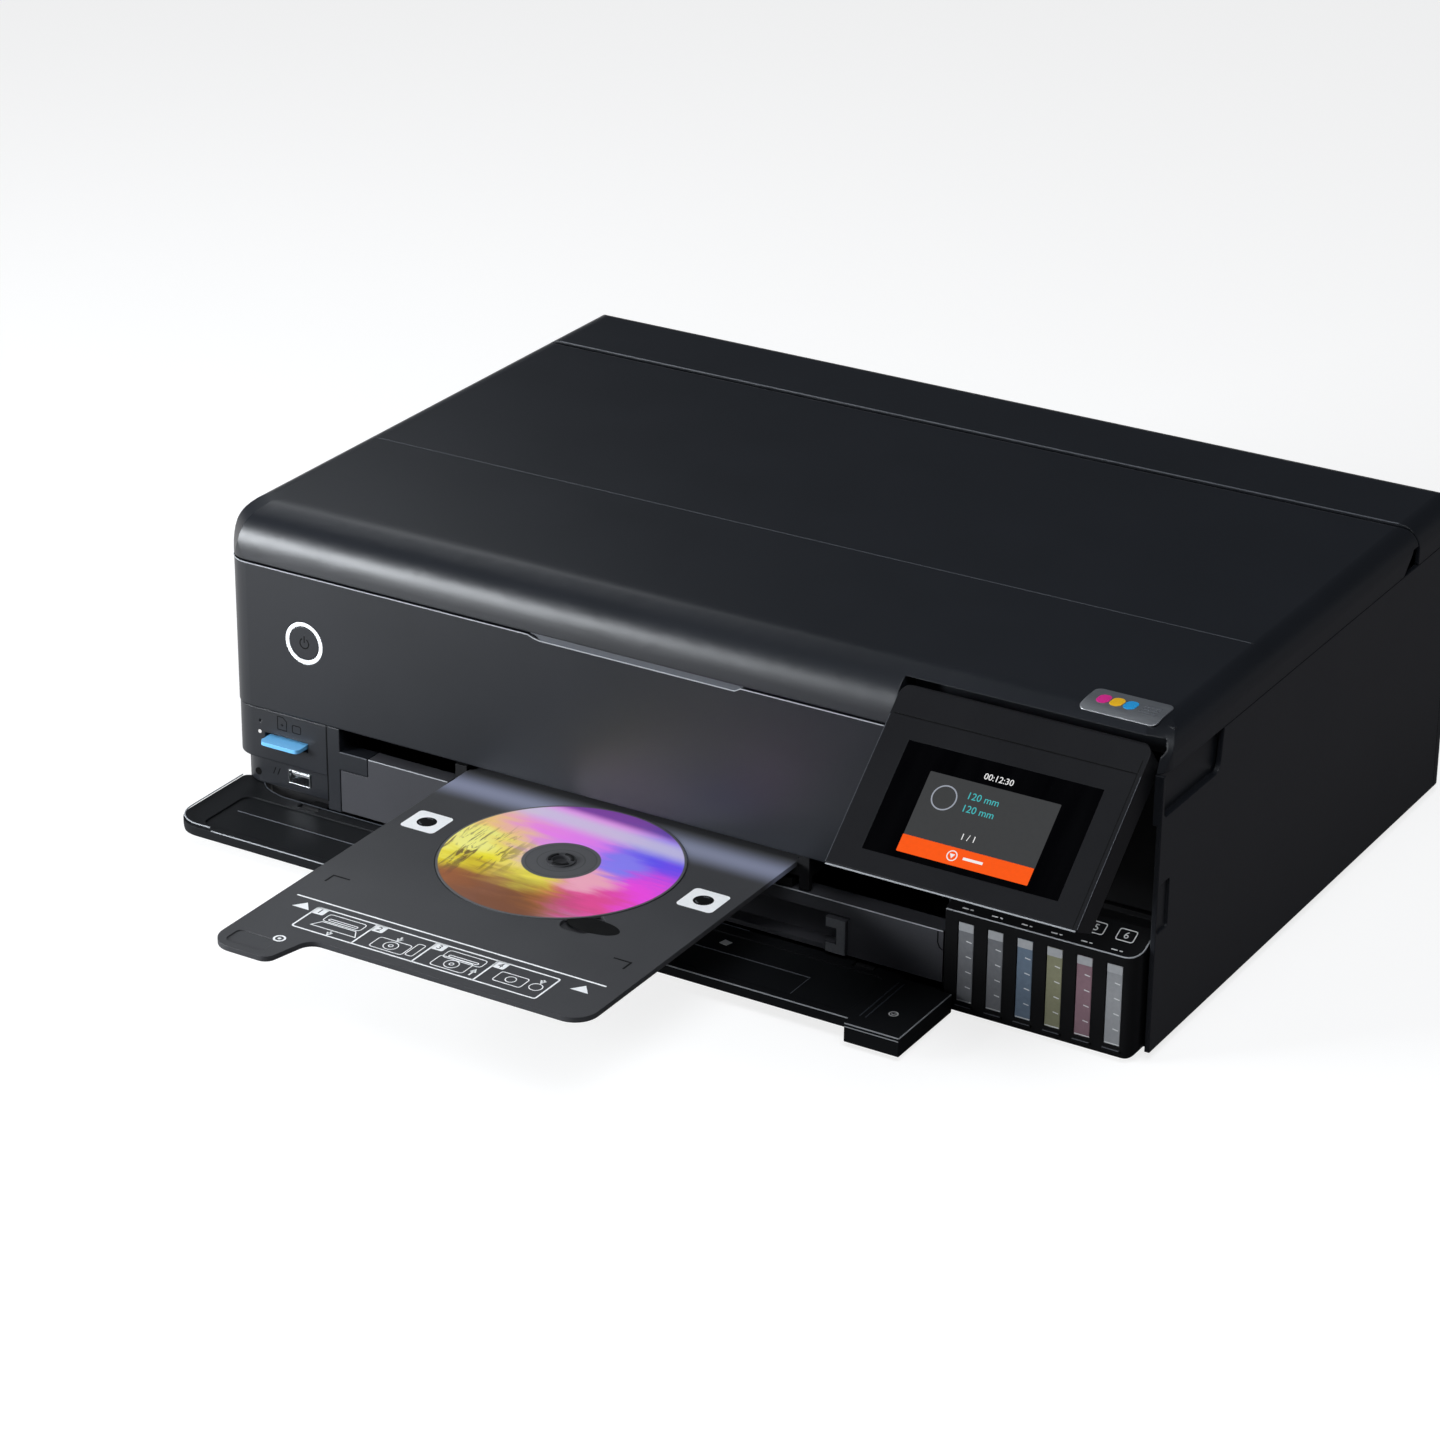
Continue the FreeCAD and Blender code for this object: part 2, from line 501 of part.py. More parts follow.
def panel_back():
    f, t, lo = CP_FACE, CP_TOP, CP_TOP - CP_LEN
    plate = box(CP_X0 + 2.5, CP_X1 - 2.5, f + CP_DEEP - 3.5, f + CP_DEEP - 1.5, lo + 8.5, t - 32)
    posts = [box(x, x + 5, f + 2.5, f + CP_DEEP - 3.5, z, z + 5)
             for x in (CP_X0 + 6, CP_X1 - 11) for z in (lo + 12, t - 42)]
    return tilt(fuse(plate, *posts))


# ---- ink tanks
NECK_Y = 50.0
CAP_AXIS = (NECK_Y + 10.3, 63.4)      # hinge of each cap


def tank_x(i):
    return TANK_X + i * TANK_PITCH


def tank_housing():
    x0, x1, y = HOUSE_X0, HOUSE_X1, HOUSE_Y
    side = [(y, 3), (y, 55.5, 1.0), (14.5, 63.5), (22, 63.5), (22, 66), (100, 66), (100, 7.5), (14.0, 7.5),
            (12, 3)]
    solid = prism("x", side, x0, x1)
    solid = solid.common(prism("z", [(x0, y), (x1, y, 7.0), (x1, 101), (x0, 101)], 0, 80))
    solid = solid.common(prism("y", [(x0, 3), (x1, 3, 5.0), (x1, 80), (x0, 80)], y - 1, 101))
    room = box(x0 + 2.2, x1 - 2.2, y + 2.4, 98, 7.5, 61).cut(
        prism("x", [(y - 1, 53.0), (14.5, 61), (14.5, 80), (y - 1, 80)], x0, x1))
    solid = cut(solid, room, box(x0 + 2.2, x1 - 2.2, 26, 98, 60, 67))
    solid = cut(solid, prism("y", [(x0 - 1, 2), (x0 - 1, 15), (x0, 15), (x0 + 4, 2)], y - 1, 101))
    for i in range(TANK_N):
        x = tank_x(i)
        solid = cut(solid, box(x - 4.2, x + 4.2, y - 1, y + 3, 8.3, 50.3))
        solid = fuse(solid, box(x - 4.4, x + 4.4, y - 0.9, y, 5.4, 6.6))
    return cut(solid, box(x0 - 1, x1 + 1, y - 2, y + 40, 0, 3))


def ink_tank(i):
    x = tank_x(i)
    outer = box(x - TANK_W / 2 + 0.4, x + TANK_W / 2 - 0.4, HOUSE_Y + 2.6, 96, 7.5, 58)
    outer = cut(outer, prism("x", [(HOUSE_Y - 1, 52.6), (16, 60.5), (26.4, 60.5), (26.4, 57), (26.4, 90),
                                   (HOUSE_Y - 1, 90)], x - 10, x + 10))
    window = box(x - 4.0, x + 4.0, HOUSE_Y + 0.3, HOUSE_Y + 3, 8.5, 50.1)
    cy, cz = CAP_AXIS
    neck = cyl("z", 4.2, x, NECK_Y, 57, 62)
    ear = fuse(box(x - 2.0, x + 2.0, cy - 2.3, cy + 2.3, 57, cz), cyl("x", 2.3, cy, cz, x - 2.0, x + 2.0))
    out = fuse(outer, window, neck, ear)
    room = box(x - TANK_W / 2 + 1.8, x + TANK_W / 2 - 1.8, HOUSE_Y + 4, 94.6, 9.2, 50)
    return cut(out, room, cyl("z", 2.6, x, NECK_Y, 48, 63), cyl("x", 1.06, cy, cz, x - 5, x + 5))


def tank_cap(i):
    x = tank_x(i)
    cy, cz = CAP_AXIS
    low, high = cz - 1.1, cz + 1.9
    top = rrect("z", x - 5.6, x + 5.6, NECK_Y - 6.6, NECK_Y + 7.4, low, high, 3)
    plug = cyl("z", 2.4, x, NECK_Y, cz - 3.9, low + 0.2)
    arms = [box(x + a, x + a + 2.4, NECK_Y + 4, cy + 0.3, low, high) for a in (-4.9, 2.5)]
    pin = cyl("x", 1.0, cy, cz, x - 4.9, x + 4.9)
    return fuse(top, plug, pin, *arms)


# ---- scanner and lid
def scanner_base():
    x, z, low = SCAN_HALF, SCAN_Z, SCAN_Z - 33.6
    y1 = REAR_SEAM - 12.4
    tub = cut(box(-x, x, 32, y1, low, z), box(-x + 2.5, x - 2.5, 34.5, y1 - 2.5, low + 2.5, z + 0.4))
    out = [tub]
    ly, lz = LID_AXIS
    for s in (-1, 1):
        a, b = sorted((s * (x - 5), s * (x - 1)))
        out.append(prism("x", [(y1 - 7, lz - 30.5), (y1, lz - 30.5), (y1, lz - 12.5), (ly + 1, lz - 2.3),
                               (ly + 2.4, lz), (ly - 2.4, lz), (y1 + 1, lz - 2.5), (y1 - 5, lz - 9.5),
                               (y1 - 7, lz - 9.5)], a, b))
        out.append(cyl("x", 2.4, ly, lz, a, b))
        a, b = sorted((s * (x - 2), s * (x + 5)))
        out.append(cyl("x", PIN, ly, lz, a, b))
    out.append(cut(box(-x + 1, x - 1, 110, 116, low + 2, low + 6), box(-300, 300, 111, 115, low + 3.5, low + 7)))
    for xx in (-RAIL_HALF + 4, RAIL_HALF - 4):
        out.append(box(xx - 3, xx + 3, RAIL_Y - 4, RAIL_Y + 4, low + 2, RAIL_Z + 4))
    out = fuse(*out)
    for s in (-1, 1):
        a, b = sorted((s * (x - 6), s * (x - 2.4)))
        out = cut(out, cyl("x", BORE, ly, lz, a, b))
    return cut(out, cyl("x", RAIL_R, RAIL_Y, RAIL_Z, -RAIL_HALF, RAIL_HALF))


RAIL_R, RAIL_Y, RAIL_Z = 3.0, 162.0, SCAN_Z - 19.6       # rod the carriage rides on
RAIL_HALF = SCAN_HALF - 7.0
SCAN_GLASS = (-156.0, 156.0, 44.0, 268.0)


def scanner_top():
    x, z = SCAN_HALF, SCAN_Z
    g = SCAN_GLASS
    frame = box(-x, x, 32, LID_AXIS[0] - 13, z, z + 2.8)
    frame = cut(frame, box(g[0], g[1], g[2], g[3], z + 0.4, z + 3.4),
                box(g[0] + 4, g[1] - 4, g[2] + 4, g[3] - 4, z - 0.6, z + 3.4))
    for s in (-1, 1):
        a, b = sorted((s * (x - 5.4), s * (x - 0.6)))
        frame = cut(frame, box(a, b, LID_AXIS[0] - 14, LID_AXIS[0] + 1, z - 0.6, z + 4.4))
    return frame


def scan_glass():
    g, z = SCAN_GLASS, SCAN_Z
    return box(g[0] + 0.2, g[1] - 0.2, g[2] + 0.2, g[3] - 0.2, z + 0.4, z + 2.8)


def scan_rail():
    return cyl("x", RAIL_R, RAIL_Y, RAIL_Z, -RAIL_HALF, RAIL_HALF)


def scan_carriage():
    x0, z = SCAN_GLASS[0] + 6.0, SCAN_Z
    bar = box(x0, x0 + 26, 46, 266, z - 16, z - 2.6)
    block = box(x0 + 3, x0 + 23, RAIL_Y - 7, RAIL_Y + 7, RAIL_Z - 5.5, z - 15.6)
    out = cut(fuse(bar, block), cyl("x", RAIL_R + 0.08, RAIL_Y, RAIL_Z, x0, x0 + 30))
    return cut(out, box(x0 + 9, x0 + 17, 52, 260, z - 4.1, z - 1.6))


PLATE_Z = SCAN_Z + 5.9               # underside of the plate inside the lid


def document_lid():
    side_z = LID_SIDE_Z

    def rolled(w, z0, rear, wide):
        round_ = [V(-wide, a + w, TOP + b - w) for a, b in LID_ROUND]
        curve = Part.BSplineCurve()
        curve.interpolate(Points=round_, InitialTangent=V(0, 0.08, 1), FinalTangent=V(0, 1, 0))
        r = max(BACK_ROUND - w, 0.5)
        cy, cz, d = rear - w - r, TOP - w - r, r * math.sqrt(0.5)
        back = [V(-wide, cy, cz + r), V(-wide, cy + d, cz + d), V(-wide, cy + r, cz)]
        rest = [back[2], V(-wide, rear - w, z0), V(-wide, w, z0)]
        if abs(round_[0].z - z0) > 1e-6:
            rest.append(round_[0])
        edges = [curve.toShape(), Part.LineSegment(round_[-1], back[0]).toShape(), Part.Arc(*back).toShape()]
        edges += [Part.LineSegment(a, b).toShape() for a, b in zip(rest, rest[1:])]
        return Part.Face(Part.Wire(edges)).extrude(V(2 * wide, 0, 0))

    def body(w, z0):
        prof = rolled(w, z0, LID_REAR, HALF)
        front = prism("y", [(-HALF + w, z0), (-HALF + w, TOP - w, SIDE_ROUND - w),
                            (HALF - w, TOP - w, SIDE_ROUND - w), (HALF - w, z0)], -1, 300)
        plan = prism("z", [(-HALF + w, w, CORNER - w), (HALF - w, w, CORNER - w),
                           (HALF - w, LID_REAR - w), (-HALF + w, LID_REAR - w)], z0 - 1, TOP + 1)
        out = prof.common(front).common(plan)
        for s in (-1, 1):                               # the same roll across each front corner
            corner = rolled(w, z0 - 2, 900, 900)
            corner.rotate(V(s * (HALF - CORNER), CORNER, 0), V(0, 0, 1), s * 45)
            out = out.common(corner)
        return out
    shell = cut(body(0, LID_FRONT_Z), body(WALL, LID_FRONT_Z - 1))
    shell = cut(shell, box(-HALF - 1, HALF + 1, CORNER_END, 300, LID_FRONT_Z - 1, side_z),
                prism("x", [(270, TOP - 26), (300, TOP - 26), (300, TOP - 9), (LID_AXIS[0] - 1, TOP - 9)],
                      -HALF - 1, HALF + 1))
    # rear wall only between the hinges
    r = SIDE_ROUND - WALL - 4.0                         # thinner here, to swing past the rear panel
    hollow = prism("y", [(-INNER - 0.2, TOP - 26), (-INNER - 0.2, TOP - WALL, r),
                         (INNER + 0.2, TOP - WALL, r), (INNER + 0.2, TOP - 26)],
                   LID_AXIS[0] - 4, LID_REAR + 6)
    shell = cut(shell, cut(hollow, box(-HALF + 23.5, HALF - 23.5, 200, 400, 0, 300)))
    shell = cut(shell, box(CP_X1, HALF + 1, -1, CORNER_END, TOP - 36, side_z))
    # place for the control panel, closed off behind
    shell = cut(shell, box(CP_X0 - 1.8, CP_X1 + 1.5, -1, CP_PIVOT[0] + 2.4, TOP - 36, TOP + 1),
                cyl("x", 13.0, CP_PIVOT[0], CP_PIVOT[1], CP_X0 - 1.8, CP_X1 + 1.5))
    low = SCAN_Z + 4.0
    wall = fuse(box(CP_X0 - 4.3, CP_X1 + 1.9, 21.4, 23.6, low, TOP - WALL),
                box(CP_X0 - 4.3, CP_X0 - 1.8, 1.5, 23.6, low, TOP - 4).common(body(1.0, LID_FRONT_Z)))
    # inner plate that carries the white pad, on four ribs
    x, z = SCAN_HALF, PLATE_Z
    ly, lz = LID_AXIS
    plate = box(-x + 5, x - 7, 34, ly - 17, z, z + 2)
    ribs = [box(-x + 11, x - 11, y, y + 2, z + 2, TOP - WALL + 0.5) for y in (40, 120, 200, 268)]
    out = [shell, wall, plate] + ribs
    for s in (-1, 1):
        a, b = sorted((s * (x - 12), s * (x - 6)))
        out.append(prism("x", [(ly - 21, z + 1.5), (ly - 17, z + 1.5), (ly - 2.2, lz - 2.1), (ly + 1, lz - 2.5),
                               (ly + 2.2, lz), (ly + 2.2, lz + 3.5), (ly - 21, lz + 3.5)], a, b))
        a, b = sorted((s * (x - 7), s * (x - 2.6)))
        out.append(cyl("x", PIN, ly, lz, a, b))
    out = fuse(*out)
    groove = box(-HALF + 11, HALF - 11, 120.4, 121.0, TOP - 0.5, TOP + 1)
    return cut(out, groove)


def lid_pad():
    g = SCAN_GLASS
    return rrect("z", g[0] + 1, g[1] - 1, g[2] + 1, g[3] - 3, SCAN_Z + 3.2, PLATE_Z, 2)


def feed_cover():
    z = LID_SIDE_Z

    def body(w):
        prof = prism("x", [(REAR_SEAM + w, z), (REAR_SEAM + w, TOP - w), (BACK - w, TOP - w, 8 - w),
                           (BACK - w, z)], -HALF, HALF)
        front = prism("y", [(-HALF + w, z), (-HALF + w, TOP - w, SIDE_ROUND - w),
                            (HALF - w, TOP - w, SIDE_ROUND - w), (HALF - w, z)], 290, 360)
        plan = prism("z", [(-HALF + w, REAR_SEAM + w), (HALF - w, REAR_SEAM + w),
                           (HALF - w, BACK - w, 8 - w), (-HALF + w, BACK - w, 8 - w)], z - 6.4, TOP + 1)
        return prof.common(front).common(plan)
    fy, fz = FEED_AXIS
    shell = cut(body(0), body(WALL),
                prism("y", [(-INNER - 0.1, z - 6.4), (-INNER - 0.1, TOP - WALL, SIDE_ROUND - WALL),
                            (INNER + 0.1, TOP - WALL, SIDE_ROUND - WALL), (INNER + 0.1, z - 6.4)],
                      REAR_SEAM - 5, BACK - 8))
    shell = cut(shell, prism("x", [(BACK - 11, z - 6), (BACK + 8, z - 6), (BACK + 8, fz + 1.5),
                                   (BACK - 7, fz + 1.5)], -300, 300))
    out = []
    for s in (-1, 1):
        a, b = sorted((s * (HALF - 12), s * (HALF - 5)))
        shell = cut(shell, box(a, b, BACK - 12, BACK + 1, z - 6.4, fz + 4.5))
        a, b = sorted((s * (HALF - 16.5), s * (HALF - 12.1)))
        out.append(prism("x", [(fy - 2.1, fz), (fy, fz - 2), (fy + 2.1, fz), (fy + 2.1, fz + 7),
                               (fy - 2.1, fz + 7)], a, b))
        out.append(box(a, b, BACK - 14, fy + 1.9, fz + 6, TOP - WALL + 0.2))
        a, b = sorted((s * (HALF - 14.5), s * (HALF - 6.1)))
        out.append(cyl("x", PIN, fy, fz, a, b))
    return fuse(shell, *out)


def edge_guide(s):
    a, b = sorted((s * 110, s * 112))
    x0, x1 = sorted((s * 112, s * 124))
    blade = prism("x", [(304, 72), (340, 118), (335, 122), (304, 86)], a, b)
    shoe = prism("x", [(305.6, 70.6), (330, 101.7), (327, 104), (302.6, 73)], x0, x1)
    return fuse(blade, shoe)


# ---- mechanism


def mech_frame():
    x0, x1 = MECH_X0, MECH_X1
    beam = fuse(box(x0, PULLEY_X + 15, 128, 130, 66, 108), box(x0, PULLEY_X + 15, 112, 130, 106, 108))
    left = box(x0 - 2, x0, 70, 170, 18, 108)
    right = box(x1, x1 + 2, 70, 170, 38.4, 108)
    feet_ = [box(x0 - 12, x0, 100, 150, 18, 20), box(x0 - 20, x0, 80, 160, FOOT + 2.5, 18)]
    leg = box(x1, CAS_X1 + 0.2, 100, 138, 38, 40.4)
    out = fuse(beam, left, right, leg, *feet_)
    tools = [cyl("x", 3.06, FEED_Y, FEED_Z, -300, 200), cyl("x", 2.06, FEED_Y, PINCH_Z, -300, 200),
             cyl("x", 2.06, EJECT_Y, EJECT_Z, -300, 200),
             cyl("y", 2.1, PULLEY_X, BELT_Z, 126, 132),
             box(x1 - 1, x1 + 3, BELT_Y - 4.5, BELT_Y + 4.5, BELT_Z - 10, BELT_Z + 10)]
    out = cut(out, *tools)
    stub = cyl("y", 1.9, IDLER_X, BELT_Z, BELT_Y - 3.9, 129)
    return fuse(out, stub)


FEED_Z = TRAY_TOP - TRAY_T - NIP - FEED_R
PINCH_Z = TRAY_TOP + NIP + PINCH_R
EJECT_Z = TRAY_TOP - TRAY_T - NIP - EJECT_R


def roller(y, z, shaft, r, bands, x0, x1):
    out = cyl("x", shaft, y, z, x0, x1)
    for a, b in bands:
        out = fuse(out, cyl("x", r, y, z, a, b))
    return out


def feed_roller():
    out = roller(FEED_Y, FEED_Z, 3.0, FEED_R, [(MECH_X0 + 8, MECH_X1 - 7)], MECH_X0 - 6, MECH_X1 + 15)
    return fuse(out, cyl("x", 10, FEED_Y, FEED_Z, MECH_X1 + 3, MECH_X1 + 9))


def pinch_roller():
    x0 = MECH_X0 + 16
    return roller(FEED_Y, PINCH_Z, 2.0, PINCH_R,
                  [(x0 + 60 * k, x0 + 60 * k + 26) for k in range(int((MECH_X1 - x0) / 60) + 1)
                   if x0 + 60 * k + 26 < MECH_X1], MECH_X0 - 5, MECH_X1 + 5)


def eject_roller():
    x0 = MECH_X0 + 16
    return roller(EJECT_Y, EJECT_Z, 2.0, EJECT_R,
                  [(x0 + 40 * k, x0 + 40 * k + 14) for k in range(int((MECH_X1 - x0) / 40) + 1)
                   if x0 + 40 * k + 14 < MECH_X1], MECH_X0 - 5, MECH_X1 + 5)


def platen():
    top = TRAY_TOP - TRAY_T - 0.6
    slab = box(MECH_X0 + 0.4, MECH_X1 - 0.4, 96, 139, 45, 49)
    x0 = MECH_X0 + 16
    ribs = [box(x0 + 20 * k, x0 + 20 * k + 2, 97, 138, 49, top) for k in range(int((MECH_X1 - x0 - 14) / 20) + 1)]
    rear = box(MECH_X0 + 6, MECH_X1 - 0.4, 160, 294, 49.6, top)
    link = [box(x, x + 8, 100, 294, 36.8, 38.0) for x in (MECH_X0 + 7, MECH_X1 - 14)]
    legs = [box(x, x + 8, a, b, 36.8, c) for x in (MECH_X0 + 7, MECH_X1 - 14)
            for a, b, c in ((100, 106, 46), (230, 240, 50))]
    ears = [box(MECH_X0, MECH_X0 + 1, 100, 110, 45, 49), box(MECH_X1 - 1, MECH_X1, 100, 110, 45, 49)]
    return fuse(slab, rear, *(ribs + link + legs + ears))


HEAD_Z = 58.4
CAR_X0, CAR_X1 = MECH_X1 - 51.0, MECH_X1 - 5.0


def print_carriage():
    body = cut(box(CAR_X0, CAR_X1, 84, 127.4, 63, 101), box(CAR_X0 + 2, CAR_X1 - 2, 86, 114, 70, 102))
    body = cut(body, box(CAR_X0 - 1, CAR_X1 + 1, 116.5, 128, 83, 127.4 - 20))
    hook = box(CAR_X0, CAR_X1, 111.5, 116.5, 90, 105.4)
    clip = fuse(box(CAR_X0, CAR_X1, 114, 132.6, 108.6, 110.2), box(CAR_X0, CAR_X1, 109, 111.4, 100, 110.2))
    pad = box(CAR_X0, CAR_X1, 107, 111.6, 95, 101)
    tail = box(CAR_X0, CAR_X1, 109, 115, 108.6, 110.2)
    rear = box(CAR_X0, CAR_X1, 130.6, 132.6, 100, 110.2)
    return fuse(cut(body, box(CAR_X0 - 1, CAR_X1 + 1, 111.4, 128, 99, 120)), pad, clip, tail, rear)


def print_head():
    return fuse(box(CAR_X0 + 4, CAR_X1 - 4, 88, 122, 60, 63), box(CAR_X0 + 8, CAR_X1 - 8, 92, 118, HEAD_Z, 60))


def timing_belt():
    x0, x1 = IDLER_X, PULLEY_X
    def loop(r):
        return fuse(box(x0, x1, BELT_Y - 3, BELT_Y + 3, BELT_Z - r, BELT_Z + r),
                    cyl("y", r, x0, BELT_Z, BELT_Y - 3, BELT_Y + 3),
                    cyl("y", r, x1, BELT_Z, BELT_Y - 3, BELT_Y + 3))
    return cut(loop(BELT_R + 1.2), loop(BELT_R))


def motor_pulley():
    return fuse(cyl("y", BELT_R - 0.3, PULLEY_X, BELT_Z, BELT_Y - 3.4, BELT_Y + 3.4),
                cyl("y", 1.9, PULLEY_X, BELT_Z, BELT_Y, 134))


def belt_idler():
    x = IDLER_X
    return cut(cyl("y", BELT_R, x, BELT_Z, BELT_Y - 3.2, BELT_Y + 3.2),
               cyl("y", 1.9, x, BELT_Z, 100, 140))


def carriage_motor():
    can = cyl("y", 13, PULLEY_X, BELT_Z, 130, 158)
    return cut(can, cyl("y", 1.98, PULLEY_X, BELT_Z, 129, 136))


def feed_motor():
    x = MECH_X1
    return fuse(box(x + 3.2, x + 9.4, 101, 105, 40.4, 62), cyl("x", 12, 112, 62, x + 10, HOUSE_X0 - 1.9),
                box(x + 9.2, x + 10.2, 101, 123, 41, 62))


def main_board():
    x = -INNER + 2.6
    board = box(x, x + 1.6, 60, 230, 20, 100)
    chips = [box(x + 1.6, x + 3.6, y, y + w, z, z + w) for y, z, w in
             ((80, 50, 22), (120, 60, 16), (160, 40, 26), (200, 70, 12))]
    tabs = [box(-INNER, x, y, y + 6, z, z + 6) for y in (64, 220) for z in (24, 90)]
    return fuse(board, *(chips + tabs))


def power_supply():
    x0, x1, y1 = HOUSE_X0 + 14.5, HALF - 9.5, BACK - 11
    a, b = INLET_X - 13.7, INLET_X + 13.7
    case = cut(box(x0, x1, 210, y1, 7.5, 46), box(x0 + 2, x1 - 2, 212, y1 - 2, 9.5, 44))
    inlet = cut(box(a, b, BACK - 17, BACK - 0.4, 20.3, 39.7),
                box(INLET_X - 10, INLET_X + 10, BACK - 7, BACK + 1, 24, 36))
    blades = [box(x - 0.6, x + 0.6, BACK - 9, BACK - 2, 28, 32) for x in (INLET_X - 4, INLET_X + 4)]
    return fuse(cut(case, box(a, b, BACK - 17, BACK - 7, 20.3, 39.7)), inlet, *blades)


def waste_box():
    x0, x1 = HOUSE_X0 + 7.5, HALF - 11.5
    return cut(box(x0, x1, 112, 200, 7.5, 34), box(x0 + 2, x1 - 2, 114, 198, 9.5, 32))


BUILD = dict(
    base_tray=base_tray, feet=feet, side_left=side_left, side_right=side_right,
    rear_panel=rear_panel, front_panel=front_panel, power_ring=power_ring,
    power_button=power_button, media_panel=media_panel, usb_port=usb_port,
    memory_card=memory_card, front_frame=front_frame, tray_guide=tray_guide,
    front_cover=front_cover, cassette=cassette, output_tray=output_tray, disc_tray=disc_tray,
    disc=disc, panel_mount=panel_mount, panel_shell=panel_shell, panel_glass=panel_glass,
    panel_back=panel_back, tank_housing=tank_housing, scanner_base=scanner_base,
    scanner_top=scanner_top, scan_glass=scan_glass, scan_rail=scan_rail,
    scan_carriage=scan_carriage, document_lid=document_lid, lid_pad=lid_pad,
    feed_cover=feed_cover, mech_frame=mech_frame, feed_roller=feed_roller,
    pinch_roller=pinch_roller, eject_roller=eject_roller, platen=platen,
    print_carriage=print_carriage, print_head=print_head, timing_belt=timing_belt,
    motor_pulley=motor_pulley, belt_idler=belt_idler, carriage_motor=carriage_motor,
    feed_motor=feed_motor, main_board=main_board, power_supply=power_supply,
    waste_box=waste_box,
)

for name, make in BUILD.items():
    put(name, make())
for i in range(TANK_N):
    put("ink_tank_%d" % (i + 1), ink_tank(i))
    put("tank_cap_%d" % (i + 1), tank_cap(i))
put("edge_guide_left", edge_guide(-1))
put("edge_guide_right", edge_guide(1))
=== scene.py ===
"""Disc label printer with its disc tray, front cover and screen open.

Sizes are in mm on the machine's own planes, and at() turns them into the row's metres.
"""
import json
import math

import bmesh
import bpy
import numpy as np
from mathutils import Matrix, Vector


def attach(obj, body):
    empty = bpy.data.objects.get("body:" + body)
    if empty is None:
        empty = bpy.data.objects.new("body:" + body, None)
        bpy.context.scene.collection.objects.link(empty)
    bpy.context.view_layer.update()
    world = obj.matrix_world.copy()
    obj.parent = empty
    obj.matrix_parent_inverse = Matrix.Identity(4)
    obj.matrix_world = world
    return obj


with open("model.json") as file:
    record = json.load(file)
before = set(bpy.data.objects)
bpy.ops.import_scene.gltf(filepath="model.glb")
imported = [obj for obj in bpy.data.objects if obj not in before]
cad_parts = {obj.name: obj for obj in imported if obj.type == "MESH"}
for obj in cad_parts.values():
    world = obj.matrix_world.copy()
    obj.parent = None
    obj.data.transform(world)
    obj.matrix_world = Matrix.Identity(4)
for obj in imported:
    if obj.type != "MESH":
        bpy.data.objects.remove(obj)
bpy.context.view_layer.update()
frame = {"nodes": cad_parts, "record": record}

# ---------------------------------------------------------------- planes of the machine
ROW_SHIFT = np.array([0.0, 69.75, 0.0])      # front face of the machine, behind the row's origin


def at(points):
    """Millimetres (X right, Y back from the front face, Z up) turned into the row's metres."""
    return (np.asarray(points, float) - ROW_SHIFT) / 1000.0


def plane(origin, right, up):
    """A flat frame: (r, u, out) in mm goes to origin + r*right + u*up + out*(right x up)."""
    r, u = np.array(right, float), np.array(up, float)
    m = np.array([r, u, np.cross(r, u)])
    return lambda p: at(np.asarray(origin, float) + np.asarray(p, float) @ m)


def deck(z, x=0.0, y=0.0):
    """A level plane at height z: r to the right and u to the back, from (x, y)."""
    return plane((x, y, z), (1, 0, 0), (0, 1, 0))


def wall(y):
    """An upright plane that faces the front: r to the right, u up."""
    return plane((0, y, 0), (1, 0, 0), (0, 0, 1))


TRAY_TOP, LID_TOP = 55.8, 166.0
DISC_CENTRE = (-20.8, -58.3)
PIVOT, TILT = (8.0, 148.8), math.radians(-48.6)  # hinge of the screen panel (Y, Z), and its swing
PANEL_LEFT, FACE_TOP = 127.3, (-3.0, 155.0)      # its left end, and its face's top edge when shut


def turned(y, z):
    """A point of the shut control panel swung about its hinge to where the panel stands."""
    dy, dz = y - PIVOT[0], z - PIVOT[1]
    return (PIVOT[0] + dy * math.cos(TILT) - dz * math.sin(TILT),
            PIVOT[1] + dy * math.sin(TILT) + dz * math.cos(TILT))


TRAY, LID, FRONT = deck(TRAY_TOP), deck(LID_TOP), wall(0.0)
SCREEN_CORNER = np.array([PANEL_LEFT, *turned(*FACE_TOP)])
SCREEN_UP, SCREEN_OUT = np.array([(0, -math.sin(TILT), math.cos(TILT)),
                                  (0, -math.cos(TILT), -math.sin(TILT))])
SCREEN = plane(SCREEN_CORNER, (1, 0, 0), SCREEN_UP)


# ---------------------------------------------------------------- surfaces on a grid
def made_piece(name, verts, faces, finish, body, weld=0.0):
    """A mesh object from points and faces, its faces turned outwards, that rides on body."""
    mesh = bpy.data.meshes.new(name)
    mesh.from_pydata(np.concatenate(verts).tolist(), [], faces)
    solid = bmesh.new()
    solid.from_mesh(mesh)
    if weld:
        bmesh.ops.remove_doubles(solid, verts=solid.verts, dist=weld)
    bmesh.ops.recalc_face_normals(solid, faces=solid.faces)
    solid.to_mesh(mesh)
    solid.free()
    mesh.materials.append(finish)
    mesh.polygons.foreach_set("use_smooth", [False] * len(mesh.polygons))
    made = bpy.data.objects.new(name, mesh)
    bpy.context.scene.collection.objects.link(made)
    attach(made, body)


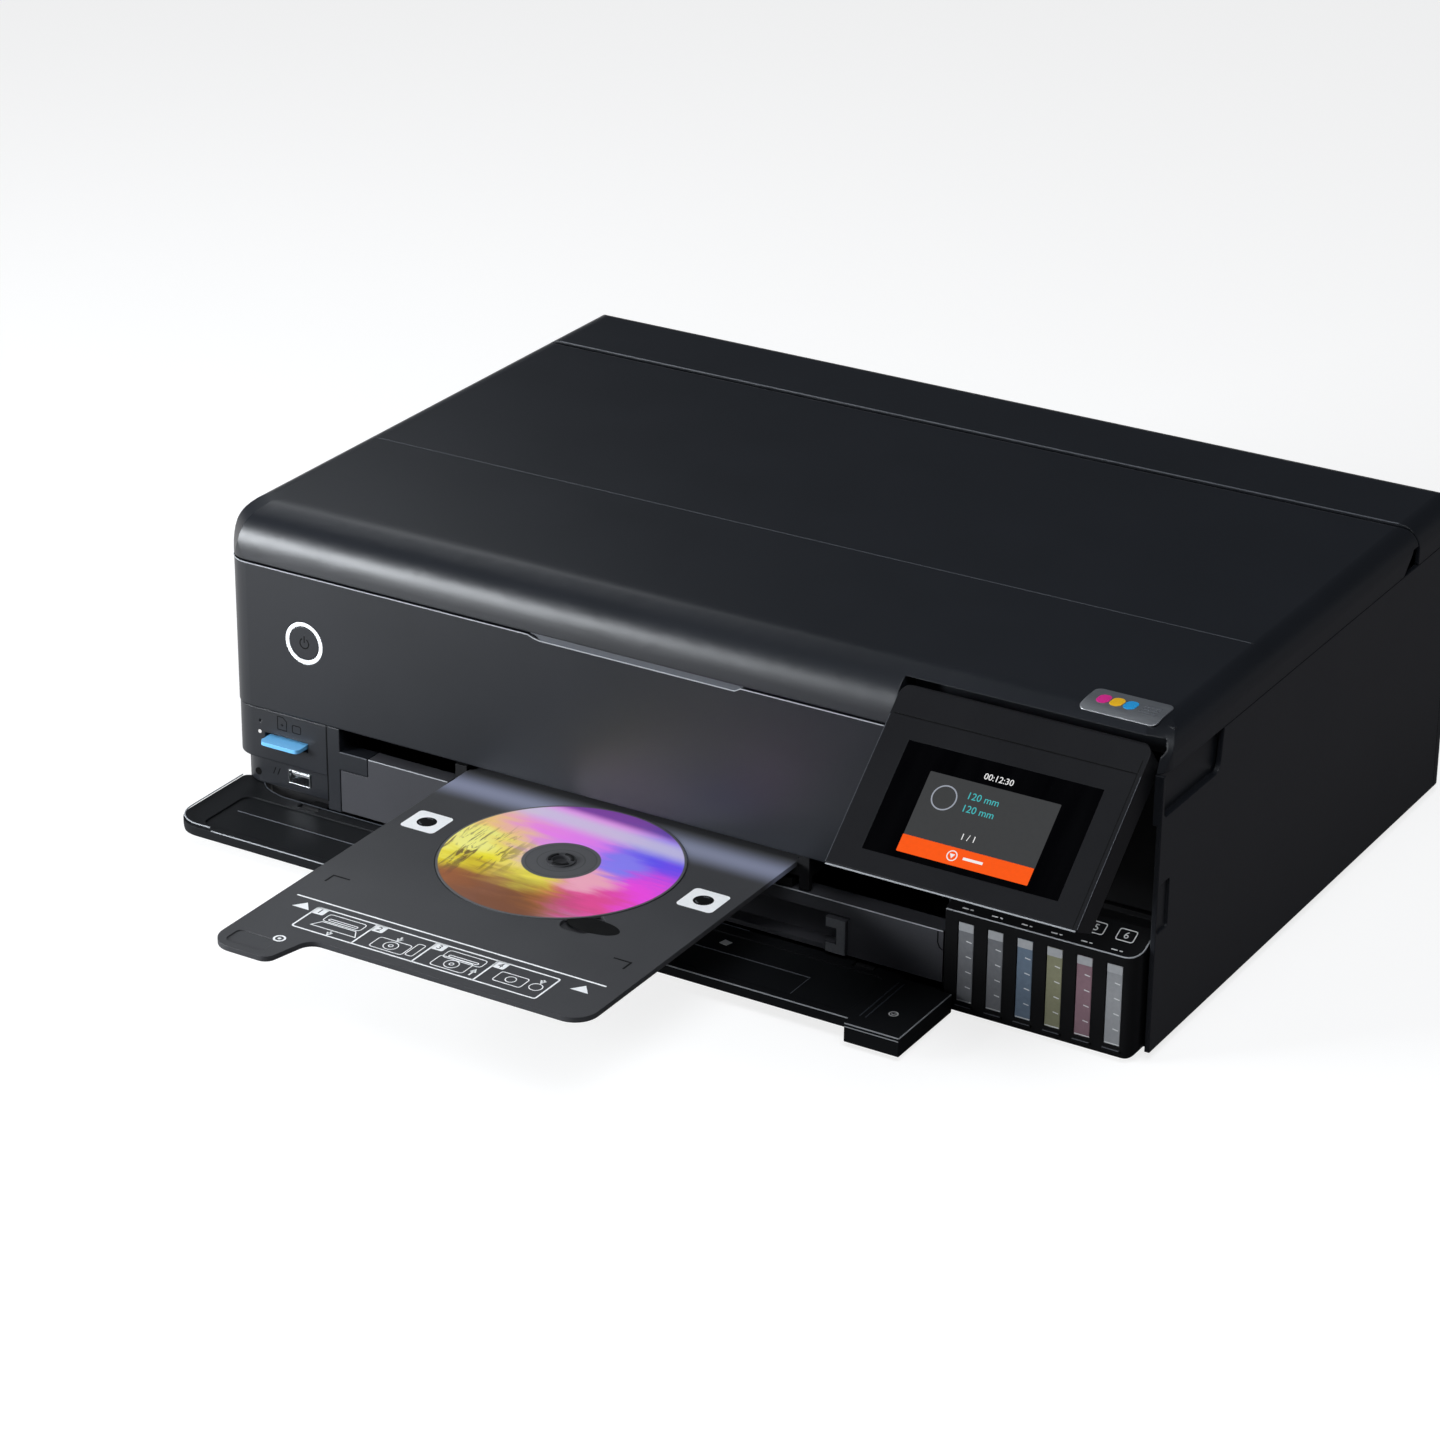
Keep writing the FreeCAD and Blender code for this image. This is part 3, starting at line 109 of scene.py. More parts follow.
def piece(name, grids, finish, body):
    """One mesh from grids of points: each grid is rows of closed rings, its rows joined by
    quads. An open grid is closed by a point in the middle of its first and last ring, and
    a looped grid joins its last ring to its first."""
    verts, faces, base = [], [], 0
    for rings, looped in grids:
        rings = np.asarray(rings, float)
        n, m = rings.shape[:2]
        i, j = np.meshgrid(np.arange(n if looped else n - 1), np.arange(m), indexing="ij")
        k, l = (i + 1) % n, (j + 1) % m
        quads = np.stack([i * m + j, i * m + l, k * m + l, k * m + j], -1).reshape(-1, 4) + base
        faces += quads.tolist()
        verts.append(rings.reshape(-1, 3))
        if not looped:
            verts.append(np.array([rings[0].mean(0), rings[-1].mean(0)]))
            a = np.arange(m)
            b = (a + 1) % m
            top = (n - 1) * m
            faces += (np.stack([b, a, np.full(m, n * m)], -1) + base).tolist()
            faces += (np.stack([top + a, top + b, np.full(m, n * m + 1)], -1) + base).tolist()
            base += 2
        base += n * m
    made_piece(name, verts, faces, finish, body)


def rounded(x0, x1, y0, y1, r, n=6):
    """A rectangle whose corners are quarter circles of radius r, as one ring of points."""
    a = np.linspace(0, np.pi / 2, n)
    mid = [(x1 - r, y1 - r), (x0 + r, y1 - r), (x0 + r, y0 + r), (x1 - r, y0 + r)]
    return np.concatenate([np.stack([x + r * np.cos(a + k * np.pi / 2),
                                     y + r * np.sin(a + k * np.pi / 2)], -1)
                           for k, (x, y) in enumerate(mid)])


def circle(x, y, r, n=48, start=0.0, turn=2 * np.pi):
    """Points at angle start + turn*t on a circle of radius r."""
    a = start + turn * np.linspace(0, 1, n, endpoint=abs(turn) < 2 * np.pi)
    return np.stack([x + r * np.cos(a), y + r * np.sin(a)], -1)


def left_corner(x, y, r, z):
    """The quarter circle about (x, y) round a front left corner, at height z."""
    return [(x + r * math.cos(a), y + r * math.sin(a), z) for a in np.linspace(np.pi, 1.5 * np.pi, 9)]


def slab(place, ring, low, high, edge=0.0):
    """A plate: the ring at height low, again at high, and drawn in by edge over a rounded rim."""
    ring = np.asarray(ring, float)
    mid = ring.mean(0)
    reach = np.abs(ring - mid).max(0)
    rows = [(0.0, low)]
    for t in (np.linspace(0, np.pi / 2, 4) if edge else [0.0]):
        rows.append((edge * (1 - math.cos(t)), high - edge * (1 - math.sin(t))))
    out = [np.column_stack([mid + (ring - mid) * (1 - inset / reach), np.full(len(ring), z)])
           for inset, z in rows]
    return place(np.array(out)), False


MITRE = 0.4                                  # a sharper turn than this cosine is cut short


def stroke(place, path, width, low, high, loop=False):
    """A line of constant width: a flat rectangle carried along the path, mitred at its turns."""
    path = np.asarray(path, float)
    ahead = np.roll(path, -1, 0) - path
    back = path - np.roll(path, 1, 0)
    if not loop:
        ahead[-1], back[0] = back[-1], ahead[0]
    ahead /= np.linalg.norm(ahead, axis=1)[:, None]
    back /= np.linalg.norm(back, axis=1)[:, None]
    side = np.stack([-(ahead + back)[:, 1], (ahead + back)[:, 0]], -1)
    side /= np.linalg.norm(side, axis=1)[:, None]
    square = np.stack([-ahead[:, 1], ahead[:, 0]], -1)
    side *= (width / 2 / np.maximum((side * square).sum(1), MITRE))[:, None]
    left, right = path + side, path - side
    n = len(path)
    ring = [np.column_stack([p, np.full(n, z)]) for p, z in
            ((left, low), (left, high), (right, high), (right, low))]
    return place(np.stack(ring, 1)), loop


ASKEW = np.array([0.31, 0.52, 0.79])         # a direction that no bead runs in
BEAD_SIDES = 8


def bead(path, radius, place=at):
    """A round bead carried along a path in mm: circles square to the path."""
    path = np.asarray(path, float)
    along = np.gradient(path, axis=0)
    along /= np.linalg.norm(along, axis=1)[:, None]
    e1 = np.cross(along, ASKEW)
    e1 /= np.linalg.norm(e1, axis=1)[:, None]
    e2 = np.cross(along, e1)
    a = np.linspace(0, 2 * np.pi, BEAD_SIDES, endpoint=False)[None, :, None]
    return place(path[:, None] + radius * (np.cos(a) * e1[:, None] + np.sin(a) * e2[:, None])), False


WELD = 1e-7                                  # metres; doubled points of a figure's outline


def digits(name, place, marks, size, finish, body, height=0.06):
    """Raised figures: each mark is (text, r, u), drawn flat, thickened and set on the plane."""
    verts, faces, base = [], [], 0
    for text, r, u in marks:
        curve = bpy.data.curves.new(name, "FONT")
        curve.body, curve.size, curve.extrude = text, size, height / 2
        curve.align_x, curve.align_y, curve.resolution_u = "CENTER", "CENTER", 3
        drawn = bpy.data.objects.new(name, curve)
        flat = bpy.data.meshes.new_from_object(drawn)
        co = np.empty(len(flat.vertices) * 3)
        flat.vertices.foreach_get("co", co)
        co = co.reshape(-1, 3) + (r, u, height / 2)
        verts.append(place(co))
        faces += [[v + base for v in p.vertices] for p in flat.polygons]
        base += len(co)
        bpy.data.objects.remove(drawn)
        bpy.data.meshes.remove(flat)
    made_piece(name, verts, faces, finish, body, WELD)


# ---------------------------------------------------------------- finishes
def linear(code):
    """An sRGB hex colour as linear RGBA."""
    v = np.array([int(code[i:i + 2], 16) for i in (1, 3, 5)]) / 255
    return (*np.where(v <= 0.04045, v / 12.92, ((v + 0.055) / 1.055) ** 2.4), 1.0)


def add(tree, kind, inputs=None, stops=(), **settings):
    """One node with its settings; each input is a value, or a socket to link. stops are the
    (place, hex) stops of a colour ramp."""
    made = tree.nodes.new(kind)
    for key, value in settings.items():
        setattr(made, key, value)
    for key, value in (inputs or {}).items():
        if isinstance(value, bpy.types.NodeSocket):
            tree.links.new(value, made.inputs[key])
        else:
            made.inputs[key].default_value = value
    if stops:
        marks = made.color_ramp.elements
        while len(marks) < len(stops):
            marks.new(0.5)
        for mark, (place, code) in zip(marks, stops):
            mark.position, mark.color = place, linear(code)
    return made


def blank(name):
    """An empty material: its tree, its surface shader and its Object coordinates."""
    mat = bpy.data.materials.new(name)
    mat.use_nodes = True
    tree = mat.node_tree
    tree.nodes.clear()
    shader = add(tree, "ShaderNodeBsdfPrincipled")
    out = add(tree, "ShaderNodeOutputMaterial")
    tree.links.new(shader.outputs[0], out.inputs["Surface"])
    coords = add(tree, "ShaderNodeTexCoord")
    return mat, tree, shader, coords.outputs["Object"]


PATCH = 0.045                                # metres across a patch of uneven cooling
UNEVEN = 0.02                                # how far its roughness strays


def moulded(name, dark, light, rough, specular, grain_mm, depth_mm, edge_mm):
    """Injection-moulded plastic: a spark-eroded grain of grain_mm in the bump, patches a few
    cm wide where the melt cooled unevenly in the colour and gloss, and softly broken edges."""
    mat, tree, shader, here = blank(name)
    patch = add(tree, "ShaderNodeTexNoise", {"Vector": here, "Scale": 1 / PATCH, "Detail": 3.0})
    fleck = add(tree, "ShaderNodeTexNoise", {"Vector": here, "Scale": 1000 / grain_mm, "Detail": 2.0})
    blend = add(tree, "ShaderNodeMath", {0: patch.outputs["Fac"], 1: 0.55}, operation="MULTIPLY")
    blend = add(tree, "ShaderNodeMath", {0: fleck.outputs["Fac"], 1: 0.45, 2: blend.outputs[0]},
                operation="MULTIPLY_ADD")
    colour = add(tree, "ShaderNodeValToRGB", {"Fac": blend.outputs[0]}, [(0.3, dark), (0.7, light)])
    tree.links.new(colour.outputs["Color"], shader.inputs["Base Color"])
    gloss = add(tree, "ShaderNodeMapRange", {"Value": blend.outputs[0], "From Min": 0.3, "From Max": 0.7,
                                             "To Min": rough - UNEVEN, "To Max": rough + UNEVEN})
    tree.links.new(gloss.outputs[0], shader.inputs["Roughness"])
    edge = add(tree, "ShaderNodeBevel", {"Radius": edge_mm / 1000}, samples=4)
    bump = add(tree, "ShaderNodeBump", {"Height": fleck.outputs["Fac"], "Strength": 0.6,
                                        "Distance": depth_mm / 1000, "Normal": edge.outputs[0]})
    tree.links.new(bump.outputs[0], shader.inputs["Normal"])
    shader.inputs["Specular IOR Level"].default_value = specular
    shader.inputs["IOR"].default_value = 1.5
    return mat


METAL_EDGE, LINE_DEPTH = 0.0004, 0.0001      # metres


def plated(name, dark, light, rough, scratch_mm, axis):
    """Metal sheet or turned bar: fine drawn lines scratch_mm apart along one axis."""
    mat, tree, shader, here = blank(name)
    stretch = [1.0, 1.0, 1.0]
    stretch[axis] = 0.03                     # so a line is 33 times as long as it is wide
    run = add(tree, "ShaderNodeMapping", {"Vector": here, "Scale": stretch})
    lines = add(tree, "ShaderNodeTexNoise", {"Vector": run.outputs[0], "Scale": 1000 / scratch_mm,
                                             "Detail": 3.0})
    colour = add(tree, "ShaderNodeValToRGB", {"Fac": lines.outputs["Fac"]}, [(0.3, dark), (0.7, light)])
    tree.links.new(colour.outputs["Color"], shader.inputs["Base Color"])
    gloss = add(tree, "ShaderNodeMapRange", {"Value": lines.outputs["Fac"], "To Min": rough - 0.08,
                                             "To Max": rough + 0.08})
    tree.links.new(gloss.outputs[0], shader.inputs["Roughness"])
    edge = add(tree, "ShaderNodeBevel", {"Radius": METAL_EDGE}, samples=4)
    bump = add(tree, "ShaderNodeBump", {"Height": lines.outputs["Fac"], "Strength": 0.2,
                                        "Distance": LINE_DEPTH, "Normal": edge.outputs[0]})
    tree.links.new(bump.outputs[0], shader.inputs["Normal"])
    shader.inputs["Metallic"].default_value = 1.0
    return mat


def printed(name, code, rough, glow=0.0):
    """Screen-printed ink, a painted highlight, or with glow a backlit area: a little unevenness 2 mm wide.
    """
    mat, tree, shader, here = blank(name)
    cover = add(tree, "ShaderNodeTexNoise", {"Vector": here, "Scale": 1000 / 2.0, "Detail": 2.0})
    tint = add(tree, "ShaderNodeMapRange", {"Value": cover.outputs["Fac"], "To Min": 0.92, "To Max": 1.04})
    colour = add(tree, "ShaderNodeVectorMath", {0: linear(code)[:3]}, operation="SCALE")
    tree.links.new(tint.outputs[0], colour.inputs["Scale"])
    tree.links.new(colour.outputs[0], shader.inputs["Emission Color" if glow else "Base Color"])
    if glow:
        shader.inputs["Base Color"].default_value = linear("#0a0a0a")
        shader.inputs["Emission Strength"].default_value = glow
    shader.inputs["Roughness"].default_value = rough
    shader.inputs["Specular IOR Level"].default_value = 0.1
    return mat


# ABS covers, moulded with a fine spark-eroded grain. Real grain is about 0.15 mm; it is
# drawn 0.9 mm wide, the finest that shows. It breaks the sheen into a soft blue-black.
cover_abs = moulded("textured_abs_cover", "#17191d", "#1a1c21", 0.38, 0.45, 0.9, 0.03, 0.9)
# Smoother ABS of the tank housing, the screen's mount and the scanner's top: darker, less sheen.
frame_abs = moulded("satin_abs_frame", "#0d0d0e", "#111112", 0.38, 0.2, 0.7, 0.015, 0.7)
# The front cover, seen from its inside: the same ABS as the covers, left duller and drawn darker than they
# are.
flap_abs = moulded("matt_abs_flap", "#101113", "#151618", 0.55, 0.14, 0.9, 0.02, 0.6)
# Polystyrene of the cassette and small guides: dark grey, satin, faintly mottled.
tray_ps = moulded("satin_polystyrene_cassette", "#38383b", "#3e3e42", 0.4, 0.3, 0.8, 0.02, 0.4)
# Shell of the control panel: as dark as the covers, but neutral and with less sheen, so that
# the black screen melts into it.
fascia_abs = moulded("fine_satin_abs_fascia", "#161618", "#1a1a1c", 0.38, 0.14, 0.7, 0.01, 0.5)
# Inner ABS parts, dull and near black, that let the open bay sink into shadow.
inner_abs = moulded("dull_abs_inner", "#0c0c0d", "#121214", 0.6, 0.2, 1.2, 0.03, 0.5)
# Light guide round the power key: milky polycarbonate, bright and soft edged.
ring_pc = moulded("milky_polycarbonate_ring", "#eceff3", "#fafbfc", 0.35, 0.4, 1.0, 0.01, 0.2)
# Card case: light blue polycarbonate with a half gloss.
card_pc = moulded("blue_polycarbonate_card", "#5fa9dc", "#74b7e6", 0.35, 0.4, 0.8, 0.01, 0.3)
# EPDM rubber: dull, dusty and soft at its edges.
foot_rubber = moulded("dull_epdm_rubber", "#151515", "#1f1f1f", 0.85, 0.25, 0.8, 0.05, 0.5)
# Roller sleeve with its bonded grit, which stands up further than a moulding's grain.
grit_rubber = moulded("grit_coated_sleeve", "#2e2e31", "#3c3c40", 0.8, 0.3, 0.5, 0.08, 0.3)
# Zinc-plated sheet and ground steel bar: cool grey with lines across the machine's width.
zinc_steel = plated("zinc_plated_steel", "#8c9196", "#b2b6ba", 0.38, 0.6, 0)
# Nickel-plated connector shell: brighter and smoother.
nickel_shell = plated("nickel_plated_shell", "#b9bcc0", "#dadcde", 0.24, 0.5, 2)
# Brushed aluminium foil of the badge on the lid: pale silver, lines 0.3 mm apart.
badge_foil = plated("brushed_aluminium_badge", "#c2c4c8", "#d4d6d8", 0.42, 0.3, 0)
# Solder-masked circuit board: glossy green with slightly uneven mask.
board_mask = moulded("green_solder_mask", "#0b3d20", "#115029", 0.3, 0.5, 1.5, 0.02, 0.2)
# Foam-backed sheet under the lid: white, dull, very finely dimpled.
lid_foam = moulded("white_foam_pad", "#dcdcda", "#e8e8e6", 0.8, 0.3, 1.5, 0.05, 0.8)
# Translucent polypropylene tanks as seen through their ink.
INKS = (("black", "#626366", "#6e6f72"), ("grey", "#5f6063", "#6c6d70"), ("blue", "#525f6d", "#5f6d7d"),
        ("yellow", "#6f6e57", "#7c7b63"), ("pink", "#715860", "#7e636b"), ("light", "#7e7f81", "#8a8b8d"))
ink_tanks = {"ink_" + tint: moulded("polypropylene_tank_" + tint, dark, light, 0.4, 0.35, 2.0, 0.02, 0.6)
             for tint, dark, light in INKS}

# painted sheen on the tray: a paler band across it in front of the slot
SHEEN_Y, SHEEN_HALF = -14.05, 16.0             # middle and half width of the band on the tray


def tray_top():
    """Vacuum-formed polystyrene sheet: dark grey with a faint 0.8 mm mottle, and a painted sheen
    across it 32 mm wide just outside the slot: a paler band that stands in for a highlight."""
    mat = moulded("polystyrene_tray_painted_sheen", "#39393b", "#414143", 0.42, 0.2, 0.8, 0.02, 0.4)
    tree = mat.node_tree
    shader = next(n for n in tree.nodes if n.type == "BSDF_PRINCIPLED")
    plain = shader.inputs["Base Color"].links[0].from_socket
    here = next(n for n in tree.nodes if n.type == "TEX_COORD").outputs["Object"]
    # distance in metres from the middle of the painted sheen, 14 mm in front of the slot
    centre = add(tree, "ShaderNodeMapping", {"Vector": here,
                                             "Location": (0.0, (ROW_SHIFT[1] - SHEEN_Y) / 1000, 0.0)})
    sep = add(tree, "ShaderNodeSeparateXYZ", {"Vector": centre.outputs[0]})
    off = add(tree, "ShaderNodeMath", {0: sep.outputs["Y"]}, operation="ABSOLUTE")
    band = add(tree, "ShaderNodeMapRange", {"Value": off.outputs[0], "From Max": SHEEN_HALF / 1000,
                                            "To Min": 0.9, "To Max": 0.0},
               interpolation_type="SMOOTHSTEP")
    # painted sheen: the tray's colour mixed towards a pale blue-grey within the band
    sheen_colour = add(tree, "ShaderNodeMix", {"Factor": band.outputs[0], 6: plain, 7: linear("#8c90a6")},
                 data_type="RGBA")
    tree.links.new(sheen_colour.outputs[2], shader.inputs["Base Color"])
    return mat


def screen_glass():
    """Acrylic window over the display: black behind, smooth, with faint streaks 11 mm wide
    and eight times as long, as a cloth leaves them."""
    mat, tree, shader, here = blank("black_backed_acrylic")
    wipe = add(tree, "ShaderNodeMapping", {"Vector": here, "Scale": (1.0, 0.12, 0.12)})
    haze = add(tree, "ShaderNodeTexNoise", {"Vector": wipe.outputs[0], "Scale": 90.0, "Detail": 3.0})
    colour = add(tree, "ShaderNodeValToRGB", {"Fac": haze.outputs["Fac"]},
                 [(0.3, "#020203"), (0.7, "#060607")])
    tree.links.new(colour.outputs["Color"], shader.inputs["Base Color"])
    gloss = add(tree, "ShaderNodeMapRange", {"Value": haze.outputs["Fac"], "To Min": 0.06, "To Max": 0.16})
    tree.links.new(gloss.outputs[0], shader.inputs["Roughness"])
    shader.inputs["IOR"].default_value = 1.49
    shader.inputs["Specular IOR Level"].default_value = 0.08
    return mat


def float_glass():
    """Soda-lime plate of the scanner: clear, faintly green, with dust in patches 17 mm wide."""
    mat, tree, shader, here = blank("soda_lime_float_glass")
    dust = add(tree, "ShaderNodeTexNoise", {"Vector": here, "Scale": 60.0, "Detail": 4.0})
    colour = add(tree, "ShaderNodeValToRGB", {"Fac": dust.outputs["Fac"]},
                 [(0.3, "#dfeee8"), (0.7, "#e8f5f0")])
    tree.links.new(colour.outputs["Color"], shader.inputs["Base Color"])
    gloss = add(tree, "ShaderNodeMapRange", {"Value": dust.outputs["Fac"], "To Min": 0.01, "To Max": 0.06})
    tree.links.new(gloss.outputs[0], shader.inputs["Roughness"])
    shader.inputs["IOR"].default_value = 1.52
    shader.inputs["Transmission Weight"].default_value = 0.9
    return mat


# colour spots of the print: x, y and reach in mm, and colour, each laid over the ones before
DISC_SPOTS = [(16, 36, 80, "#e08cff"), (50, 20, 56, "#6450ff"), (48, -18, 46, "#ff48ea"),
              (-50, 14, 46, "#ffd080"), (-40, -24, 46, "#fff000"), (8, -38, 36, "#ffa014"),
              (-4, -24, 24, "#fff050"), (34, -32, 28, "#f04898"), (-50, -4, 24, "#fff888"),
              (22, -10, 20, "#ffb0c4"), (26, 14, 22, "#9084ff"), (-16, 44, 46, "#ff84f8"),
              (-34, -50, 40, "#9c5418"), (0, -60, 50, "#7a4014")]
PRINT_FROM, PRINT_TO, PRINT_FADE = 18.9, 58.6, 0.4  # mm from the disc's centre


def disc_face():
    """Printable disc, as polycarbonate with a lacquered print: a wash of soft-edged colour
    spots, bent by slanting brush waves, with a painted sheen across it as a pale band, and
    dark strokes on its warm side. Inside and outside the print it is clear grey with moulded rings."""
    mat, tree, shader, here = blank("printed_lacquered_disc")
    # mm from the disc's centre
    middle = (-DISC_CENTRE[0], ROW_SHIFT[1] - DISC_CENTRE[1], 0.0)
    centre = add(tree, "ShaderNodeMapping", {"Vector": here, "Location": middle,
                                             "Scale": (1000.0, 1000.0, 0.0)})
    radius = add(tree, "ShaderNodeVectorMath", {0: centre.outputs[0]}, operation="LENGTH")
    # brush waves 35 mm long and 7 mm wide shift the place where each spot is looked up
    run = add(tree, "ShaderNodeMapping", {"Vector": centre.outputs[0], "Rotation": (0.0, 0.0, -0.18),
                                          "Scale": (0.018, 0.085, 1.0)})
    brush = add(tree, "ShaderNodeTexNoise", {"Vector": run.outputs[0], "Scale": 1.6, "Detail": 4.0,
                                             "Roughness": 0.55, "Distortion": 0.4})
    shove = add(tree, "ShaderNodeVectorMath", {0: brush.outputs["Color"], 1: (0.5, 0.5, 0.5)},
                operation="SUBTRACT")
    shove = add(tree, "ShaderNodeVectorMath", {0: shove.outputs[0], 1: (34.0, 34.0, 0.0),
                                               2: centre.outputs[0]}, operation="MULTIPLY_ADD")
    wash = None
    for x, y, reach, code in DISC_SPOTS:
        far = add(tree, "ShaderNodeVectorMath", {0: shove.outputs[0], 1: (x, y, 0.0)},
                  operation="DISTANCE")
        near = add(tree, "ShaderNodeMapRange", {"Value": far.outputs["Value"], "From Min": 0.25 * reach,
                                                "From Max": reach, "To Min": 1.0, "To Max": 0.0},
                   interpolation_type="SMOOTHSTEP")
        spot = add(tree, "ShaderNodeMix", {"Factor": near.outputs[0], 6: wash or linear("#e6a0ee"),
                                           7: linear(code)}, data_type="RGBA")
        wash = spot.outputs[2]
    # painted sheen: a pale band 26 mm wide across the wash, 38 mm behind the centre; deep violet beyond it
    up = add(tree, "ShaderNodeSeparateXYZ", {"Vector": centre.outputs[0]})
    lean = add(tree, "ShaderNodeMath", {0: up.outputs["X"], 1: 0.05, 2: up.outputs["Y"]},
               operation="MULTIPLY_ADD")
    beyond = add(tree, "ShaderNodeMapRange", {"Value": lean.outputs[0], "From Min": 44.0, "From Max": 52.0,
                                              "To Min": 0.0, "To Max": 0.8},
                 interpolation_type="SMOOTHSTEP")
    deep = add(tree, "ShaderNodeMix", {"Factor": beyond.outputs[0], 6: wash, 7: linear("#4a3490")},
               data_type="RGBA")
    sheen_stripe = add(tree, "ShaderNodeMath", {0: lean.outputs[0], 1: -38.0}, operation="ADD")
    sheen_stripe = add(tree, "ShaderNodeMath", {0: sheen_stripe.outputs[0]}, operation="ABSOLUTE")
    sheen_stripe = add(tree, "ShaderNodeMapRange", {"Value": sheen_stripe.outputs[0], "From Min": 1.0, "From Max": 13.0,
                                              "To Min": 0.85, "To Max": 0.0},
                 interpolation_type="SMOOTHSTEP")
    # the painted sheen laid over the wash
    pale = add(tree, "ShaderNodeMix", {"Factor": sheen_stripe.outputs[0], 6: deep.outputs[2],
                                       7: linear("#dcd4ee")}, data_type="RGBA")
    # dark bent strokes 24 mm long and 5 mm wide, over the warm side only
    reed = add(tree, "ShaderNodeMapping", {"Vector": centre.outputs[0], "Rotation": (0.0, 0.0, 0.75),
                                           "Scale": (0.10, 0.022, 1.0)})
    strokes = add(tree, "ShaderNodeTexNoise", {"Vector": reed.outputs[0], "Scale": 1.9, "Detail": 5.0,
                                               "Roughness": 0.62, "Distortion": 1.4})
    dark = add(tree, "ShaderNodeMapRange", {"Value": strokes.outputs["Fac"], "From Min": 0.52,
                                            "From Max": 0.60})
    warm = add(tree, "ShaderNodeVectorMath", {0: centre.outputs[0], 1: (-44.0, -12.0, 0.0)},
               operation="DISTANCE")
    warm = add(tree, "ShaderNodeMapRange", {"Value": warm.outputs["Value"], "From Min": 12.0,
                                            "From Max": 34.0, "To Min": 0.85, "To Max": 0.0})
    dark = add(tree, "ShaderNodeMath", {0: dark.outputs[0], 1: warm.outputs[0]}, operation="MULTIPLY")
    picture = add(tree, "ShaderNodeMix", {"Factor": dark.outputs[0], 6: pale.outputs[2],
                                          7: linear("#4a1c10")}, data_type="RGBA")
    # the print starts and stops at its two radii
    start = add(tree, "ShaderNodeMapRange", {"Value": radius.outputs["Value"], "From Min": PRINT_FROM,
                                             "From Max": PRINT_FROM + PRINT_FADE})
    stop = add(tree, "ShaderNodeMapRange", {"Value": radius.outputs["Value"], "From Min": PRINT_TO,
                                            "From Max": PRINT_TO + PRINT_FADE,
                                            "To Min": 1.0, "To Max": 0.0})
    inked = add(tree, "ShaderNodeMath", {0: start.outputs[0], 1: stop.outputs[0]}, operation="MULTIPLY")
    # moulded rings round the hub at 11.5 and 17 mm
    reach = add(tree, "ShaderNodeMapRange", {"Value": radius.outputs["Value"], "From Min": 7.0,
                                             "From Max": 19.0})
    rings = add(tree, "ShaderNodeValToRGB", {"Fac": reach.outputs[0]},
                [(0.0, "#454547"), (0.34, "#4b4b4d"), (0.37, "#2c2c2e"), (0.42, "#4c4c4e"),
                 (0.80, "#49494b"), (0.84, "#303032"), (0.88, "#505052")])
    face = add(tree, "ShaderNodeMix", {"Factor": inked.outputs[0], 6: rings.outputs["Color"],
                                       7: picture.outputs[2]}, data_type="RGBA")
    tree.links.new(face.outputs[2], shader.inputs["Base Color"])
    shader.inputs["Roughness"].default_value = 0.35
    shader.inputs["Coat Weight"].default_value = 0.4
    shader.inputs["Coat Roughness"].default_value = 0.15
    return mat


acrylic = screen_glass()
plate_glass = float_glass()
disc_lacquer = disc_face()
# Polypropylene over the ink, where the tank shows only air: paler than the ink below it.
tank_air = moulded("clear_polypropylene_air", "#8e8f91", "#9c9d9f", 0.4, 0.35, 2.0, 0.02, 0.3)
# The latch is moulded in a paler grey.
latch_ps = moulded("pale_polystyrene_latch", "#5c5d60", "#68696c", 0.4, 0.35, 0.8, 0.02, 0.5)
tray_sheet = tray_top()
# Pad printing: thin, flat and slightly uneven in cover. The black also serves as painted shade and shadow,
# and the grey as painted glints.
white_ink = printed("white_pad_print", "#f4f4f4", 0.5)
black_ink_and_shade = printed("black_pad_print_and_painted_shade", "#070707", 0.5)
grey_ink_and_glint = printed("grey_pad_print_and_painted_glint", "#5a5c60", 0.5)
label_ink = printed("white_label_print", "#c8c8c8", 0.5)
# Painted highlights: pale lines laid along edges, seams and ribs, where they catch the light.
faint_highlight = printed("faint_painted_highlight", "#3c3f44", 0.3)
soft_highlight = printed("soft_painted_highlight", "#54565b", 0.3)
bright_highlight = printed("bright_painted_highlight", "#9c9ea1", 0.3)
# Backlit display: flat areas of light behind the acrylic.
lit_grey = printed("lit_grey_screen", "#393a3b", 0.5, 1.0)
lit_orange = printed("lit_orange_key", "#fb5600", 0.5, 1.0)
lit_white = printed("lit_white_figures", "#f0f0f0", 0.5, 1.0)
lit_cyan = printed("lit_cyan_figures", "#42b8bc", 0.5, 1.0)
lit_silver = printed("lit_silver_ring", "#9ba0ac", 0.5, 1.0)

# each node takes its slot's finish, but for these
NODE_FINISH = dict(disc_tray=tray_sheet, front_cover=flap_abs, front_frame=cover_abs,
                   panel_shell=fascia_abs)
SLOT_FINISH = dict(cover_dark=cover_abs, cover_black=frame_abs, tray_grey=tray_ps,
                   inner_black=inner_abs, white_trim=ring_pc, glass_black=acrylic,
                   glass_clear=plate_glass, pad_white=lid_foam, steel=zinc_steel,
                   chrome=nickel_shell, rubber=foot_rubber, roller_grey=grit_rubber,
                   card_blue=card_pc, disc_print=disc_lacquer, board_green=board_mask, **ink_tanks)
slot_of = {s["node"]: s["material_slot"] for s in frame["record"]["subparts"]}
for node, made in frame["nodes"].items():
    made.data.materials.clear()
    made.data.materials.append(NODE_FINISH.get(node, SLOT_FINISH[slot_of[node]]))

